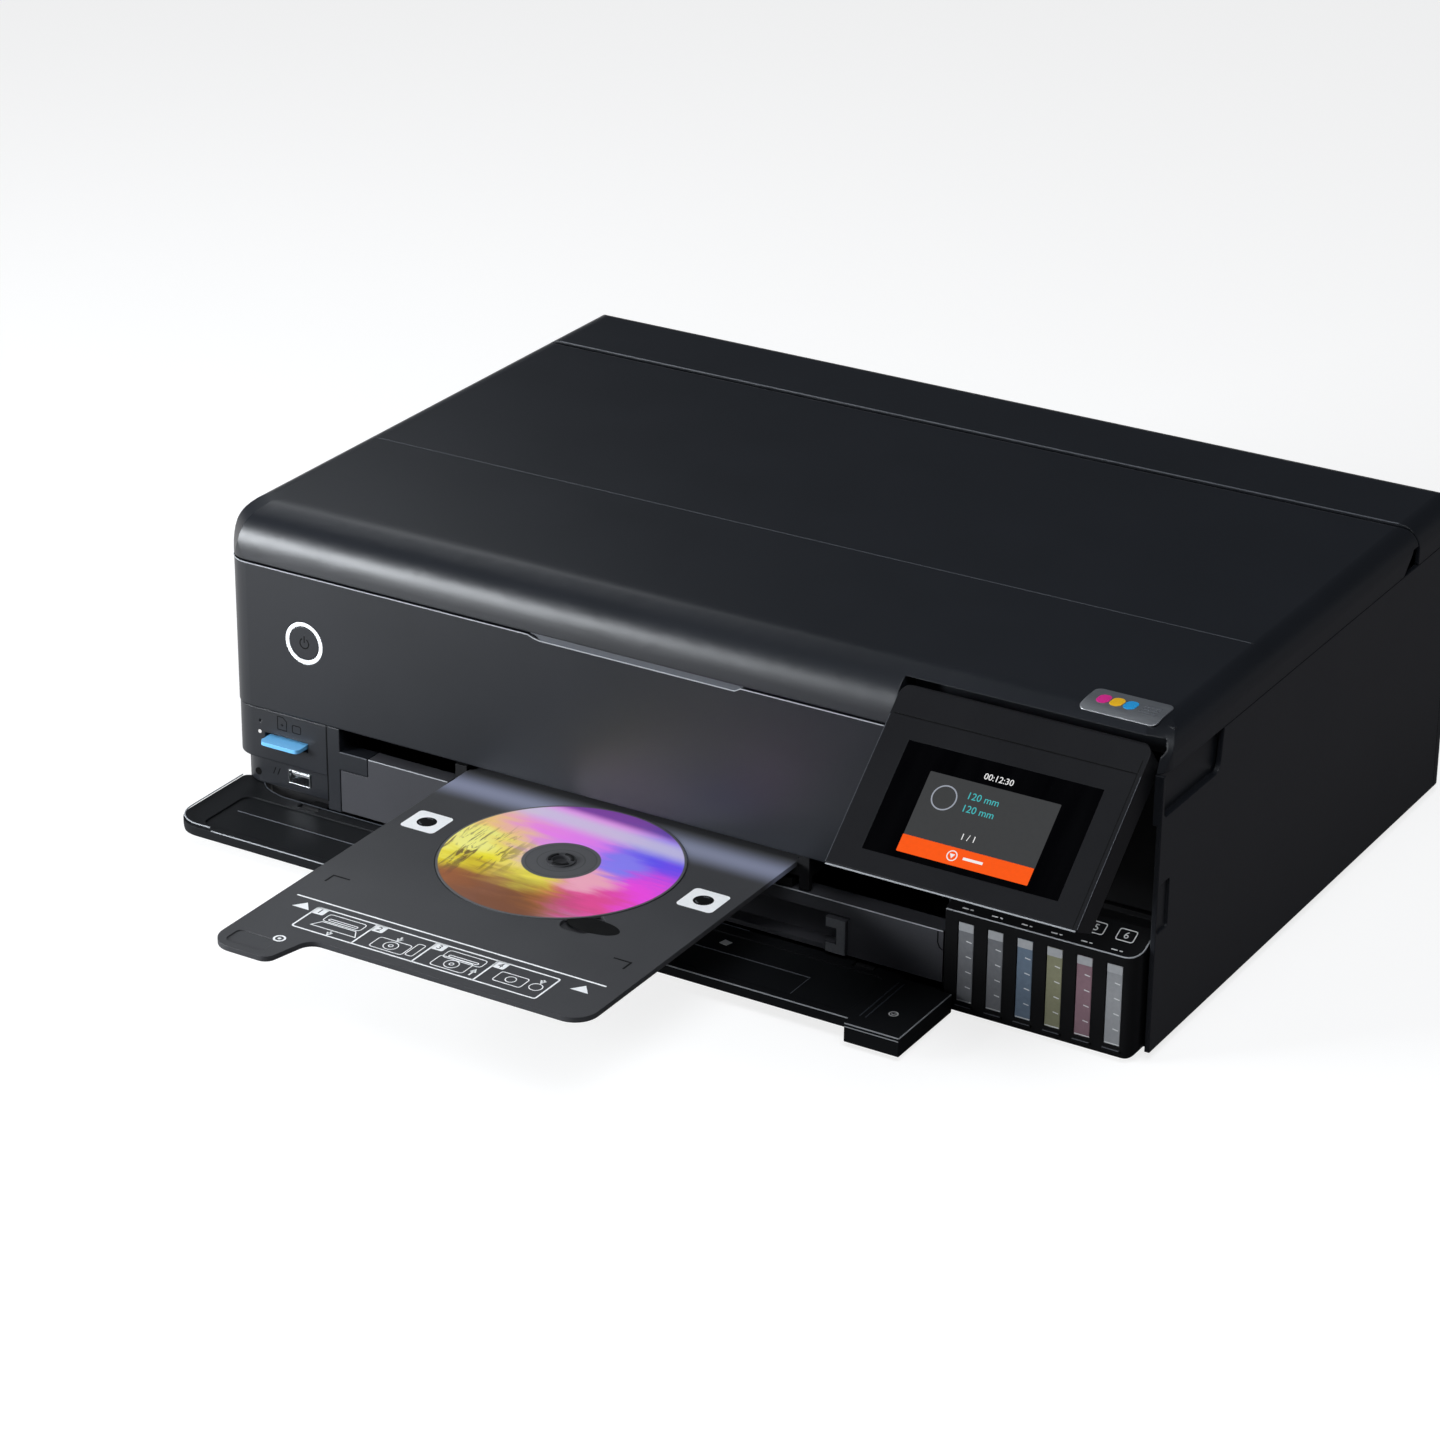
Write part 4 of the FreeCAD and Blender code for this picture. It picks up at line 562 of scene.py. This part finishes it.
# ---------------------------------------------------------------- camera
# A long lens from the front right and above, so that upright edges stay nearly parallel.
EYE = (1.00866, -1.70448, 0.99995)           # metres
look = Vector((-0.47450, 0.77746, -0.41280)).normalized()
level = look.cross(Vector((0, 0, 1))).normalized()
upright = level.cross(look)
roll = math.radians(0.32)
right = level * math.cos(roll) + upright * math.sin(roll)
up = upright * math.cos(roll) - level * math.sin(roll)
lens = bpy.data.cameras.new("view")
lens.lens, lens.sensor_width, lens.shift_x, lens.shift_y = 110.35, 36.0, 0.0259, -0.0226
camera = bpy.data.objects.new("view", lens)
camera.matrix_world = Matrix([(right[i], up[i], -look[i], EYE[i]) for i in range(3)] + [(0, 0, 0, 1)])
bpy.context.scene.collection.objects.link(camera)
bpy.context.scene.camera = camera
bpy.context.scene.view_settings.view_transform = "Standard"


# ---------------------------------------------------------------- disc tray
INK_LOW, INK_HIGH = -0.02, 0.05


def ink(place, *paths, width=0.6, loop=False):
    """Printed lines on a plane: each path is a row of (r, u) points in mm."""
    return [stroke(place, p, width, INK_LOW, INK_HIGH, loop) for p in paths]


def arrow(x, y, turn, w=3.4, h=3.4):
    """A triangle w wide and h high about (x, y), turned from pointing along +u."""
    p = np.array([(-w / 2, -h / 2), (w / 2, -h / 2), (0, h / 2)])
    c, s = math.cos(turn), math.sin(turn)
    return p @ np.array([(c, s), (-s, c)]) + (x, y)


STRIP = (-90.5, 44.0, -180.0, -158.5)        # the strip of steps: left, right, front, back
CELL = (STRIP[1] - STRIP[0]) / 4
marks = ink(TRAY, [(-106.6, -153.3), (65.1, -153.3)], width=1.0)
marks += [slab(TRAY, arrow(x, -160.5, 0, 9.5, 6.0), INK_LOW, INK_HIGH) for x in (-97.5, 57.0)]
marks += ink(TRAY, rounded(*STRIP, 1.2, 3), width=0.9, loop=True)
marks += ink(TRAY, *[[(STRIP[0] + CELL * k, STRIP[2]), (STRIP[0] + CELL * k, STRIP[3])]
                     for k in (1, 2, 3)], width=0.9)
number_tabs = [slab(TRAY, rounded(x, x + 6.4, STRIP[3] - 6.2, STRIP[3], 0.8, 3), INK_LOW, INK_HIGH)
               for x in STRIP[0] + CELL * np.arange(4)]


def step_drawing(x, y, k):
    """Line drawing of step k in its cell: flap down, disc on tray, tray in, key pressed."""
    body = [rounded(x + 9, x + 30, y + 11.5, y + 18.5, 1.6, 3),
            rounded(x + 11.5, x + 27.5, y + 13, y + 14.6, 0.5, 2)]
    tray = [rounded(x + 8, x + 26, y + 2.5, y + 12.5, 1.4, 3), circle(x + 17, y + 7.6, 3.6, 20),
            circle(x + 17, y + 7.6, 1.1, 10)]
    flap = [np.array([(x + 10, y + 10.5), (x + 29, y + 10.5), (x + 32, y + 5.5), (x + 7, y + 5.5)])]
    key = [rounded(x + 7, x + 22, y + 5, y + 14, 1.2, 3), circle(x + 14.5, y + 9.5, 2.6, 16),
           circle(x + 28, y + 9.5, 3.2, 18)]
    closed = [body + flap, tray + [rounded(x + 27, x + 31, y + 4, y + 16, 1, 3)], body + tray, key][k]
    tail, tip = [((19.5, 4.5), (19.5, 1.6)), ((17.0, 17.0), (17.0, 13.6)),
                 ((29.5, 3.0), (29.5, 8.0)), ((28.0, 17.0), (28.0, 14.6))][k]
    tail, tip = np.add((x, y), tail), np.add((x, y), tip)
    turn = 0.0 if tip[1] > tail[1] else math.pi
    return (ink(TRAY, *closed, width=0.5, loop=True) + ink(TRAY, [tail, tip], width=0.9)
            + [slab(TRAY, arrow(*tip, turn), INK_LOW, INK_HIGH)])


for k in range(4):
    marks += step_drawing(STRIP[0] + CELL * k, STRIP[2], k)
marks += ink(TRAY, circle(-87.4, -193.6, 2.6, 20), width=1.0, loop=True)
marks += [slab(TRAY, circle(-87.4, -193.6, 0.9, 10), INK_LOW, INK_HIGH)]
piece("tray_prints", marks + number_tabs, white_ink, "disc_tray")
digits("tray_step_numbers", deck(TRAY_TOP + INK_HIGH),
       [(str(k + 1), STRIP[0] + CELL * k + 3.2, STRIP[3] - 3.3) for k in range(4)], 5.6,
       black_ink_and_shade, "disc_tray", 0.04)
# sensor targets: a white square with a round hole; painted shade fills each hole and two painted glints lie
# in it
TARGETS, TARGET_Y = (-99.0, 58.0), -57.4
piece("tray_targets", [slab(TRAY, rounded(x - 9.8, x + 9.8, TARGET_Y - 9.8, TARGET_Y + 9.8, 2.4),
                            INK_LOW, INK_HIGH) for x in TARGETS], white_ink, "disc_tray")
piece("tray_target_hole_shade", [slab(TRAY, circle(x, TARGET_Y, 5.0), 0.0, INK_HIGH + 0.03)
                            for x in TARGETS], black_ink_and_shade, "disc_tray")
piece("tray_target_glints", [stroke(TRAY, circle(x, TARGET_Y, 3.6, 10, a, 0.9), 0.7, 0.0, INK_HIGH + 0.05)
                             for x in TARGETS for a in (1.2, 3.6)], grey_ink_and_glint, "disc_tray")
piece("tray_corner_marks", ink(TRAY, [(-103.8, -135), (-103.8, -128), (-94.4, -128)],
                               [(62.4, -135), (62.4, -128), (53.0, -128)], width=1.0),
      black_ink_and_shade, "disc_tray")
# painted shade of the finger notch at the disc's rim: a dark ellipse that stands in for the hollow, half
# hidden by the disc
piece("finger_notch_painted_shade", [slab(TRAY, (28.4, -106.8) + circle(0, 0, 1.0, 32) * (14.0, 6.6), INK_LOW, 0.03)],
      black_ink_and_shade, "disc_tray")
# sprung fingers that hold the disc's bore
HUB = deck(TRAY_TOP + 0.9, *DISC_CENTRE)
piece("hub_fingers", [stroke(HUB, circle(0, 0, 5.6, 10, a + 0.25, 1.5), 1.5, -0.1, 0.45)
                      for a in np.arange(3) * 2 * np.pi / 3], inner_abs, "disc_tray")

# ---------------------------------------------------------------- front cover
COVER, DISH = deck(12.5), deck(11.7)         # its inner face, and the shallow dish in it
RIM = 14.0                                   # top of the raised rim round the cover's left end
rim = ([(-260.6, 8, RIM), (-260.6, -20, RIM)] + left_corner(-245.5, -36, 15.1, RIM)
       + [(-237.0, -51.1, RIM)])
# painted highlights along the cover's rim and front edges
piece("cover_rim_light", [bead(rim, 0.35),
                          bead([(-236, -51.7, 12.45), (-50, -51.7, 12.45), (133.5, -51.7, 12.45)], 0.35),
                          bead([(134.6, -56.7, 12.4), (150, -56.7, 12.4), (163.3, -56.7, 12.4)], 0.35),
                          bead([(134.6, -56.95, 10.9), (150, -56.95, 10.9), (163.3, -56.95, 10.9)], 0.25),
                          bead([(163.3, -56.6, 12.4), (163.3, -30, 12.4), (163.3, -6, 12.4)], 0.3)],
      bright_highlight, "front_cover")
# painted highlights along the edge of the dish
piece("cover_dish_edge_highlight", [bead([(-239.6, -24.4, 11.7), (-70, -24.9, 11.7), (98, -25.4, 11.7)], 0.32),
                          bead([(98, -44, 11.7), (98, -34, 11.7), (98, -25.4, 11.7)], 0.2)],
      soft_highlight, "front_cover")
# painted highlights along two ribs at the cover's right end
piece("cover_end_rib_highlights", [bead([(137.2, -47, 12.5), (137.0, -28, 12.5), (136.8, -9, 12.5)], 0.35),
                         bead([(140.2, -47, 12.5), (140.0, -28, 12.5), (139.8, -9, 12.5)], 0.35)],
      faint_highlight, "front_cover")
piece("cover_marks", ink(COVER, circle(149.6, -36.9, 2.1, 20), width=0.6, loop=True)
      + ink(COVER, [(148.6, -36.9), (149.4, -37.8), (150.8, -36.0)], width=0.5)
      + [slab(DISH, [(43.0, -17.6), (47.6, -18.6), (48.6, -14.4), (44.0, -13.4)], INK_LOW, 0.12)],
      label_ink, "front_cover")
# painted highlight along the cover's hinge edge
hinge_edge = [(-251.0, 12.4), (-246.5, 8.0), (-242.6, 4.4), (-237, 1.6), (-229, -0.5),
              (-200, -0.8), (-150, -0.8), (-100, -0.8), (50, -0.8)]
piece("cover_hinge_light", [bead([(x, y, 12.55) for x, y in hinge_edge], 0.28)], faint_highlight, "front_cover")

# ---------------------------------------------------------------- front of the body
LIP = 138.9                                  # top edge of the front panel, below the lid's lip
edge_path = (left_corner(-247.5, 14, 14, LIP)
             + [(x, 0.0, LIP) for x in (-220, -180, -140, -100, -77.5)]
             + [(-74, 0, 137.6), (-70.4, 0, 137.0), (-40, 0, 137.0), (0, 0, 137.0), (39.7, 0, 137.0),
                (43.0, 0, LIP)] + [(x, 0.0, LIP) for x in (60, 90, 123.2)])
# painted highlight along the front panel's top edge
piece("panel_top_light", [bead(edge_path, 0.3)], bright_highlight, "chassis")
# finger scoop under the lip: a smooth ramp that fills the recess in the front panel, drawn pale as a
# painted highlight
scoop = np.array([[(x, 0.02 + 1.9 * t, 136.55 + 2.9 * t ** 1.2) for x in (-70.0 - 7.2 * t, 39.5 + 4.2 * t)]
                  for t in np.linspace(0, 1, 9)])
scoop = np.concatenate([scoop, scoop[:, ::-1] + (0, 0.35, -0.3)], 1)
piece("grip_scoop_painted_highlight", [(at(scoop), False)], soft_highlight, "chassis")
KEY_FACE = wall(0.2)
broken_ring = circle(-212.4, 102.2, 2.7, 22, math.radians(118), math.radians(304))
piece("power_symbol", [stroke(KEY_FACE, broken_ring, 0.6, INK_LOW, 0.06)]
      + ink(KEY_FACE, [(-212.4, 102.6), (-212.4, 106.2)]), black_ink_and_shade, "power_button")
STEP_FACE = wall(8)                          # the panel below the media slots, set back
piece("port_symbols", ink(FRONT, [(-230.8, 50.4), (-225.2, 50.4), (-225.2, 55.6), (-227.4, 57.6),
                                  (-230.8, 57.6)], width=0.5, loop=True)
      + ink(FRONT, [(-228.9, 53.2), (-227.2, 53.2)], [(-228.0, 52.4), (-228.0, 54.0)], width=0.45)
      + ink(FRONT, rounded(-221.6, -216.4, 50.6, 54.8, 0.8, 3), width=0.5, loop=True)
      + ink(STEP_FACE, [(-240.6, 19.6), (-238.9, 23.6)], [(-237.9, 19.6), (-236.2, 23.6)], width=0.5)
      + [slab(STEP_FACE, circle(-250.2, 18.6, 2.0, 16), INK_LOW, INK_HIGH)], black_ink_and_shade, "chassis")
piece("card_lamp", [slab(FRONT, circle(-242.2, 46.4, 1.0, 16), INK_LOW, 0.35, 0.3)], lit_white, "chassis")
piece("post_shadow", ink(FRONT, [(-200.0, 17.5), (-200.2, 59.4)], width=0.7), black_ink_and_shade, "chassis")
# painted highlight along the post's tab
piece("post_tab_light", [bead([(-191.8, -0.05, 47.0), (-183, -0.05, 47.0), (-175.6, -0.05, 47.0)], 0.3)],
      soft_highlight, "chassis")
# skirts that close two gaps at the bottom: beside the tank housing, and under the media slots
SKIRT = deck(5.4)
piece("corner_skirt", [stroke(SKIRT, [(253.5, 8), (258.6, 11), (258.6, 21)], 2.4, 0.0, 53.0)],
      inner_abs, "chassis")
piece("media_skirt", [stroke(SKIRT, [(-249.2, 24), (-247.4, 15), (-243, 11), (-235, 10.2), (-204, 10.2)],
                             1.6, 0.0, 7.6)], inner_abs, "chassis")
# painted highlights along the cassette's top edges
piece("cassette_top_light", [bead([(-174.4, 0, 46.95), (-150, 0, 46.95), (-126.4, 0, 46.95)], 0.3),
                             bead([(-125.4, 0, 41), (60, 0, 41), (155.0, 0, 41)], 0.32)],
      bright_highlight, "cassette")
# grip latch of the cassette, a paler moulding
LATCH = wall(-2.6)
piece("cassette_latch", [stroke(LATCH, [(93.3, 30.6), (101.4, 30.6), (101.4, 17.2), (93.3, 17.2)],
                                4.8, 0.0, 0.15)], latch_ps, "cassette")
piece("cassette_shadow_lines", ink(FRONT, [(152.2, 40.6), (152.2, 34.6), (153.2, 32.2), (155.0, 31.0)],
                                   width=0.7), black_ink_and_shade, "cassette")

# ---------------------------------------------------------------- tank housing
TANK = [168.5 + 15.45 * k for k in range(6)]  # middle of each tank's window
SLOPE = (17.5, 8.0)                          # run back and rise of the label strip
LABEL = plane((0, -3.0, 55.5), (1, 0, 0), np.array([0, *SLOPE]) / math.hypot(*SLOPE))
WINDOW = wall(-2.7)
LEDGE = 55.3                                 # front edge of the sloping label strip
front_edge = ([(157.9, -3, LEDGE), (200, -3, LEDGE), (248, -3, LEDGE)]
              + [(250.4 + 7 * math.cos(a), 4 + 7 * math.sin(a), LEDGE + 3.2 * (1 + math.sin(a)))
                 for a in np.linspace(-np.pi / 2, 0, 6)] + [(257.4, 14.0, 63.0)])
# painted highlight along the label strip's front edge
piece("tank_label_light", [bead(front_edge, 0.35)], bright_highlight, "chassis")
piece("tank_label_frames", ink(LABEL, *[rounded(x - 4.4, x + 4.4, 8.6, 15.4, 1.0, 3) for x in TANK],
                               width=0.5, loop=True)
      + ink(LABEL, *[[(x + a, 2.6), (x + b, 2.6)] for x in TANK for a, b in ((-3.4, -0.2), (0.8, 2.4))],
            width=0.6), label_ink, "chassis")
digits("tank_label_numbers", LABEL, [(str(k + 1), x, 11.9) for k, x in enumerate(TANK)], 5.6,
       label_ink, "chassis")
piece("tank_air_gaps", [slab(WINDOW, rounded(x - 3.9, x + 3.9, 45.6, 50.0, 0.3, 2), INK_LOW, 0.10)
                        for x in TANK], tank_air, "chassis")
piece("tank_level_marks", ink(WINDOW, *[[(x + 0.2, z + 0.4), (x + 3.0, z)] for x in TANK
                                        for z in (40.4, 32.4, 24.4, 16.4)],
                              *[[(x - 3.8, 9.0), (x + 3.8, 9.0)] for x in TANK], width=0.5),
      label_ink, "chassis")
# painted highlights along the tank windows' ledges
piece("tank_ledge_light", [bead([(x - 4.3, -3.85, 6.55), (x, -3.85, 6.55), (x + 4.3, -3.85, 6.55)], 0.22)
                           for x in TANK], soft_highlight, "chassis")

# ---------------------------------------------------------------- screen
LIT_LOW, LIT_HIGH = 0.0, 0.06                # lit areas; figures stand on top of them
FIGURES = plane(SCREEN_CORNER + LIT_HIGH * SCREEN_OUT, (1, 0, 0), SCREEN_UP)
piece("screen_field", [slab(SCREEN, rounded(31.2, 98.0, -72.2, -39.4, 0.3, 2), LIT_LOW, LIT_HIGH)],
      lit_grey, "control_panel")
piece("screen_stop_key", [slab(SCREEN, rounded(31.0, 97.8, -80.8, -72.0, 0.3, 2), LIT_LOW, LIT_HIGH)],
      lit_orange, "control_panel")
piece("screen_progress_ring", ink(FIGURES, circle(42.8, -50.4, 6.0, 40), width=0.65, loop=True),
      lit_silver, "control_panel")
piece("screen_stop_symbol", ink(FIGURES, circle(57.9, -76.3, 2.4, 24), width=0.5, loop=True)
      + [slab(FIGURES, arrow(57.9, -76.5, math.pi, 2.6, 2.2), INK_LOW, INK_HIGH)]
      + ink(FIGURES, [(63.5, -76.3), (73.5, -76.3)], width=1.3), lit_white, "control_panel")
digits("screen_size_lines", FIGURES, [("120 mm", 61.2, -46.6), ("120 mm", 61.2, -53.0)], 5.0,
       lit_cyan, "control_panel")
digits("screen_counts", FIGURES, [("00:12:30", 64.6, -35.4), ("1 / 1", 62.0, -66.4)], 4.4,
       lit_white, "control_panel")
# painted highlight along the frame's bottom edge, and painted highlights along its two sides
piece("screen_frame_light", [bead([(0.8, -95.6, 0.0), (60, -95.6, 0.0), (127.9, -95.6, 0.0)], 0.4,
                                  place=SCREEN)], bright_highlight, "control_panel")
piece("screen_frame_edge_highlights", [bead([(r, -17, -0.2), (r, -55, -0.2), (r, -94.6, -0.2)], 0.25, place=SCREEN)
                             for r in (0.3, 128.4)], soft_highlight, "control_panel")
piece("screen_frame_groove", ink(SCREEN, [(126.2, -9), (126.2, -94.5)],
                                 [(2.0, -16.05), (126.0, -16.05)], width=0.4), black_ink_and_shade, "control_panel")


# ---------------------------------------------------------------- lid
def lid_top(p):
    """(r, u, out) on the lid, whose front falls away as a power curve ahead of u 28."""
    p = np.asarray(p, float)
    fall = 0.0046 * np.clip(28 - p[..., 1], 0, None) ** 2.38
    return at(np.stack([p[..., 0], p[..., 1], LID_TOP - fall + p[..., 2]], -1))


def draped(x0, x1, y0, y1, r, low, high):
    """A rounded plate that follows the lid: cross-sections along u, each a flat ring whose
    half width shortens as a quarter circle of radius r in the first and last r mm."""
    u = y0 + (y1 - y0) * (1 - np.cos(np.linspace(0, np.pi, 25))) / 2
    near = np.clip(r - np.minimum(u - y0, y1 - u), 0, r)
    half = (x1 - x0) / 2 - (r - np.sqrt(r * r - near * near))
    mid, ones = (x0 + x1) / 2, np.ones_like(u)
    ring = [(mid - half, low), (mid + half, low), (mid + half, high), (mid - half, high)]
    return lid_top(np.stack([np.stack([x, u, h * ones], -1) for x, h in ring], 1)), False


# painted shade under the lid's lip: a black bead that fills the gap over the front panel and stands in for
# its shadow
GAP_SHADE_Z = 140.5                                 # its height, in the gap between lip and front panel
gap_shade = left_corner(-246.5, 15, 12.3, GAP_SHADE_Z) + [(x, 2.7, GAP_SHADE_Z) for x in (-200, -120, -40, 40, 90, 124)]
piece("lid_lip_gap_shade", [bead(gap_shade, 0.75)], black_ink_and_shade, "lid")
piece("lid_badge", [draped(211.5, 251.0, 15.6, 36.6, 3.4, -0.3, 0.35)], badge_foil, "lid")
for name, x, finish in (("badge_red_spot", 219.4, printed("magenta_pad_print", "#d8308c", 0.4)),
                        ("badge_yellow_spot", 226.2, printed("yellow_pad_print", "#f0b828", 0.4)),
                        ("badge_blue_spot", 233.0, printed("cyan_pad_print", "#2e9ad8", 0.4))):
    piece(name, [draped(x - 3.1, x + 3.1, 22.6, 31.4, 3.0, 0.2, 0.42)], finish, "lid")
piece("badge_grey_bars", [draped(238.6, 247.4, y, y + 1.5, 0.7, 0.2, 0.42) for y in (23.2, 26.2, 29.2)],
      grey_ink_and_glint, "lid")
SEAM_END = 249.4                             # both ends of the seams across the top
# painted highlights along the seams across the top
piece("lid_middle_seam_highlight", ink(LID, [(x, 120.7) for x in (-SEAM_END, 0, SEAM_END)], width=0.5),
      soft_highlight, "lid")
piece("feed_cover_seam_highlight", [bead([(x, 295.6, 165.9) for x in (-SEAM_END, 0, SEAM_END)], 0.28)],
      soft_highlight, "feed_cover")


# ---------------------------------------------------------------- stage
def pale_floor():
    """Matt white paper sweep, which keeps the machine's shadow. It looks one way to the view,
    another to gloss, and is a plain mid grey to all other light."""
    mat = bpy.data.materials.new("matt_white_sweep")
    mat.use_nodes = True
    tree = mat.node_tree
    tree.nodes.clear()
    seen = add(tree, "ShaderNodeLightPath")
    lit = add(tree, "ShaderNodeBsdfDiffuse", {"Color": linear("#a8a8a8")})
    # as gloss sees it the sweep goes from white at the left through near black to grey
    here = add(tree, "ShaderNodeTexCoord")
    along = add(tree, "ShaderNodeSeparateXYZ", {"Vector": here.outputs["Object"]})
    far = add(tree, "ShaderNodeMapRange", {"Value": along.outputs["X"], "From Min": -0.5, "From Max": 0.5})
    greys = add(tree, "ShaderNodeValToRGB", {"Fac": far.outputs[0]},
                [(0.0, "#ffffff"), (0.25, "#c8cacc"), (0.36, "#3a3c40"), (0.5, "#202023"),
                 (0.7, "#3c3c3e"), (0.85, "#606064")])
    graded = add(tree, "ShaderNodeEmission", {"Color": greys.outputs["Color"]})
    # as the view sees it, a thin share takes the shadow and the rest is its own light
    thin = add(tree, "ShaderNodeBsdfDiffuse", {"Color": (0.3, 0.3, 0.3, 1.0)})
    own = add(tree, "ShaderNodeEmission", {"Color": (0.8, 0.8, 0.8, 1.0), "Strength": 1.0})
    both = add(tree, "ShaderNodeAddShader", {0: thin.outputs[0], 1: own.outputs[0]})
    rays = add(tree, "ShaderNodeMath", {0: seen.outputs["Is Camera Ray"],
                                        1: seen.outputs["Is Transmission Ray"]}, operation="MAXIMUM")
    pick = add(tree, "ShaderNodeMixShader", {0: seen.outputs["Is Glossy Ray"], 1: lit.outputs[0],
                                             2: graded.outputs[0]})
    pick = add(tree, "ShaderNodeMixShader", {0: rays.outputs[0], 1: pick.outputs[0], 2: both.outputs[0]})
    out = add(tree, "ShaderNodeOutputMaterial")
    tree.links.new(pick.outputs[0], out.inputs["Surface"])
    return mat


FLOOR_REACH = 6.0                            # metres from the middle to each side
floor_mesh = bpy.data.meshes.new("floor")
floor_mesh.from_pydata([(x * FLOOR_REACH, y * FLOOR_REACH, 0)
                        for x, y in ((-1, -1), (1, -1), (1, 1), (-1, 1))], [], [(0, 1, 2, 3)])
floor_mesh.materials.append(pale_floor())
floor = bpy.data.objects.new("floor", floor_mesh)
bpy.context.scene.collection.objects.link(floor)

# The room: a mid grey wall low down and a dim blue-grey ceiling, behind a white backdrop
# that only the view and what is seen through glass meet.
world = bpy.data.worlds.new("studio")
bpy.context.scene.world = world
world.use_nodes = True
sky = world.node_tree
sky.nodes.clear()
seen = add(sky, "ShaderNodeLightPath")
rays = add(sky, "ShaderNodeMath", {0: seen.outputs["Is Camera Ray"],
                                   1: seen.outputs["Is Transmission Ray"]}, operation="MAXIMUM")
way = add(sky, "ShaderNodeTexCoord")
height = add(sky, "ShaderNodeSeparateXYZ", {"Vector": way.outputs["Generated"]})
dim = add(sky, "ShaderNodeValToRGB", {"Fac": height.outputs["Z"]},
          [(0.0, "#6c6e70"), (0.10, "#6c6e72"), (0.24, "#3c4046"), (1.0, "#262a30")])
room = add(sky, "ShaderNodeBackground", {"Color": dim.outputs["Color"], "Strength": 1.0})
white = add(sky, "ShaderNodeBackground", {"Color": (1, 1, 1, 1), "Strength": 1.0})
pick = add(sky, "ShaderNodeMixShader", {0: rays.outputs[0], 1: room.outputs[0], 2: white.outputs[0]})
out = add(sky, "ShaderNodeOutputWorld")
sky.links.new(pick.outputs[0], out.inputs["Surface"])


LAMP_WHITE = (0.92, 0.96, 1.0)               # cool daylight


def softbox(name, where, aim, wide, high, watts):
    """A rectangular area lamp at where (m) that faces aim."""
    lamp = bpy.data.lights.new(name, "AREA")
    lamp.shape, lamp.size, lamp.size_y, lamp.energy = "RECTANGLE", wide, high, watts
    lamp.color = LAMP_WHITE
    made = bpy.data.objects.new(name, lamp)
    made.location = where
    made.rotation_euler = (Vector(aim) - Vector(where)).to_track_quat("-Z", "Y").to_euler()
    bpy.context.scene.collection.objects.link(made)


# A low key lamp draws the bright band along the lid's lip, a wide one overhead lights the
# tray and disc, and a weak one behind grades the lid's top from left to right.
softbox("key_front_left", (-1.0, -1.0, 0.42), (-0.2, -0.15, 0.14), 0.6, 0.42, 30.0)
softbox("overhead_front_right", (0.6, -0.75, 1.7), (0.0, 0.0, 0.1), 1.2, 0.9, 20.0)
softbox("rear_left", (-0.85, 0.5, 0.95), (-0.1, 0.0, 0.15), 0.6, 0.5, 2.0)
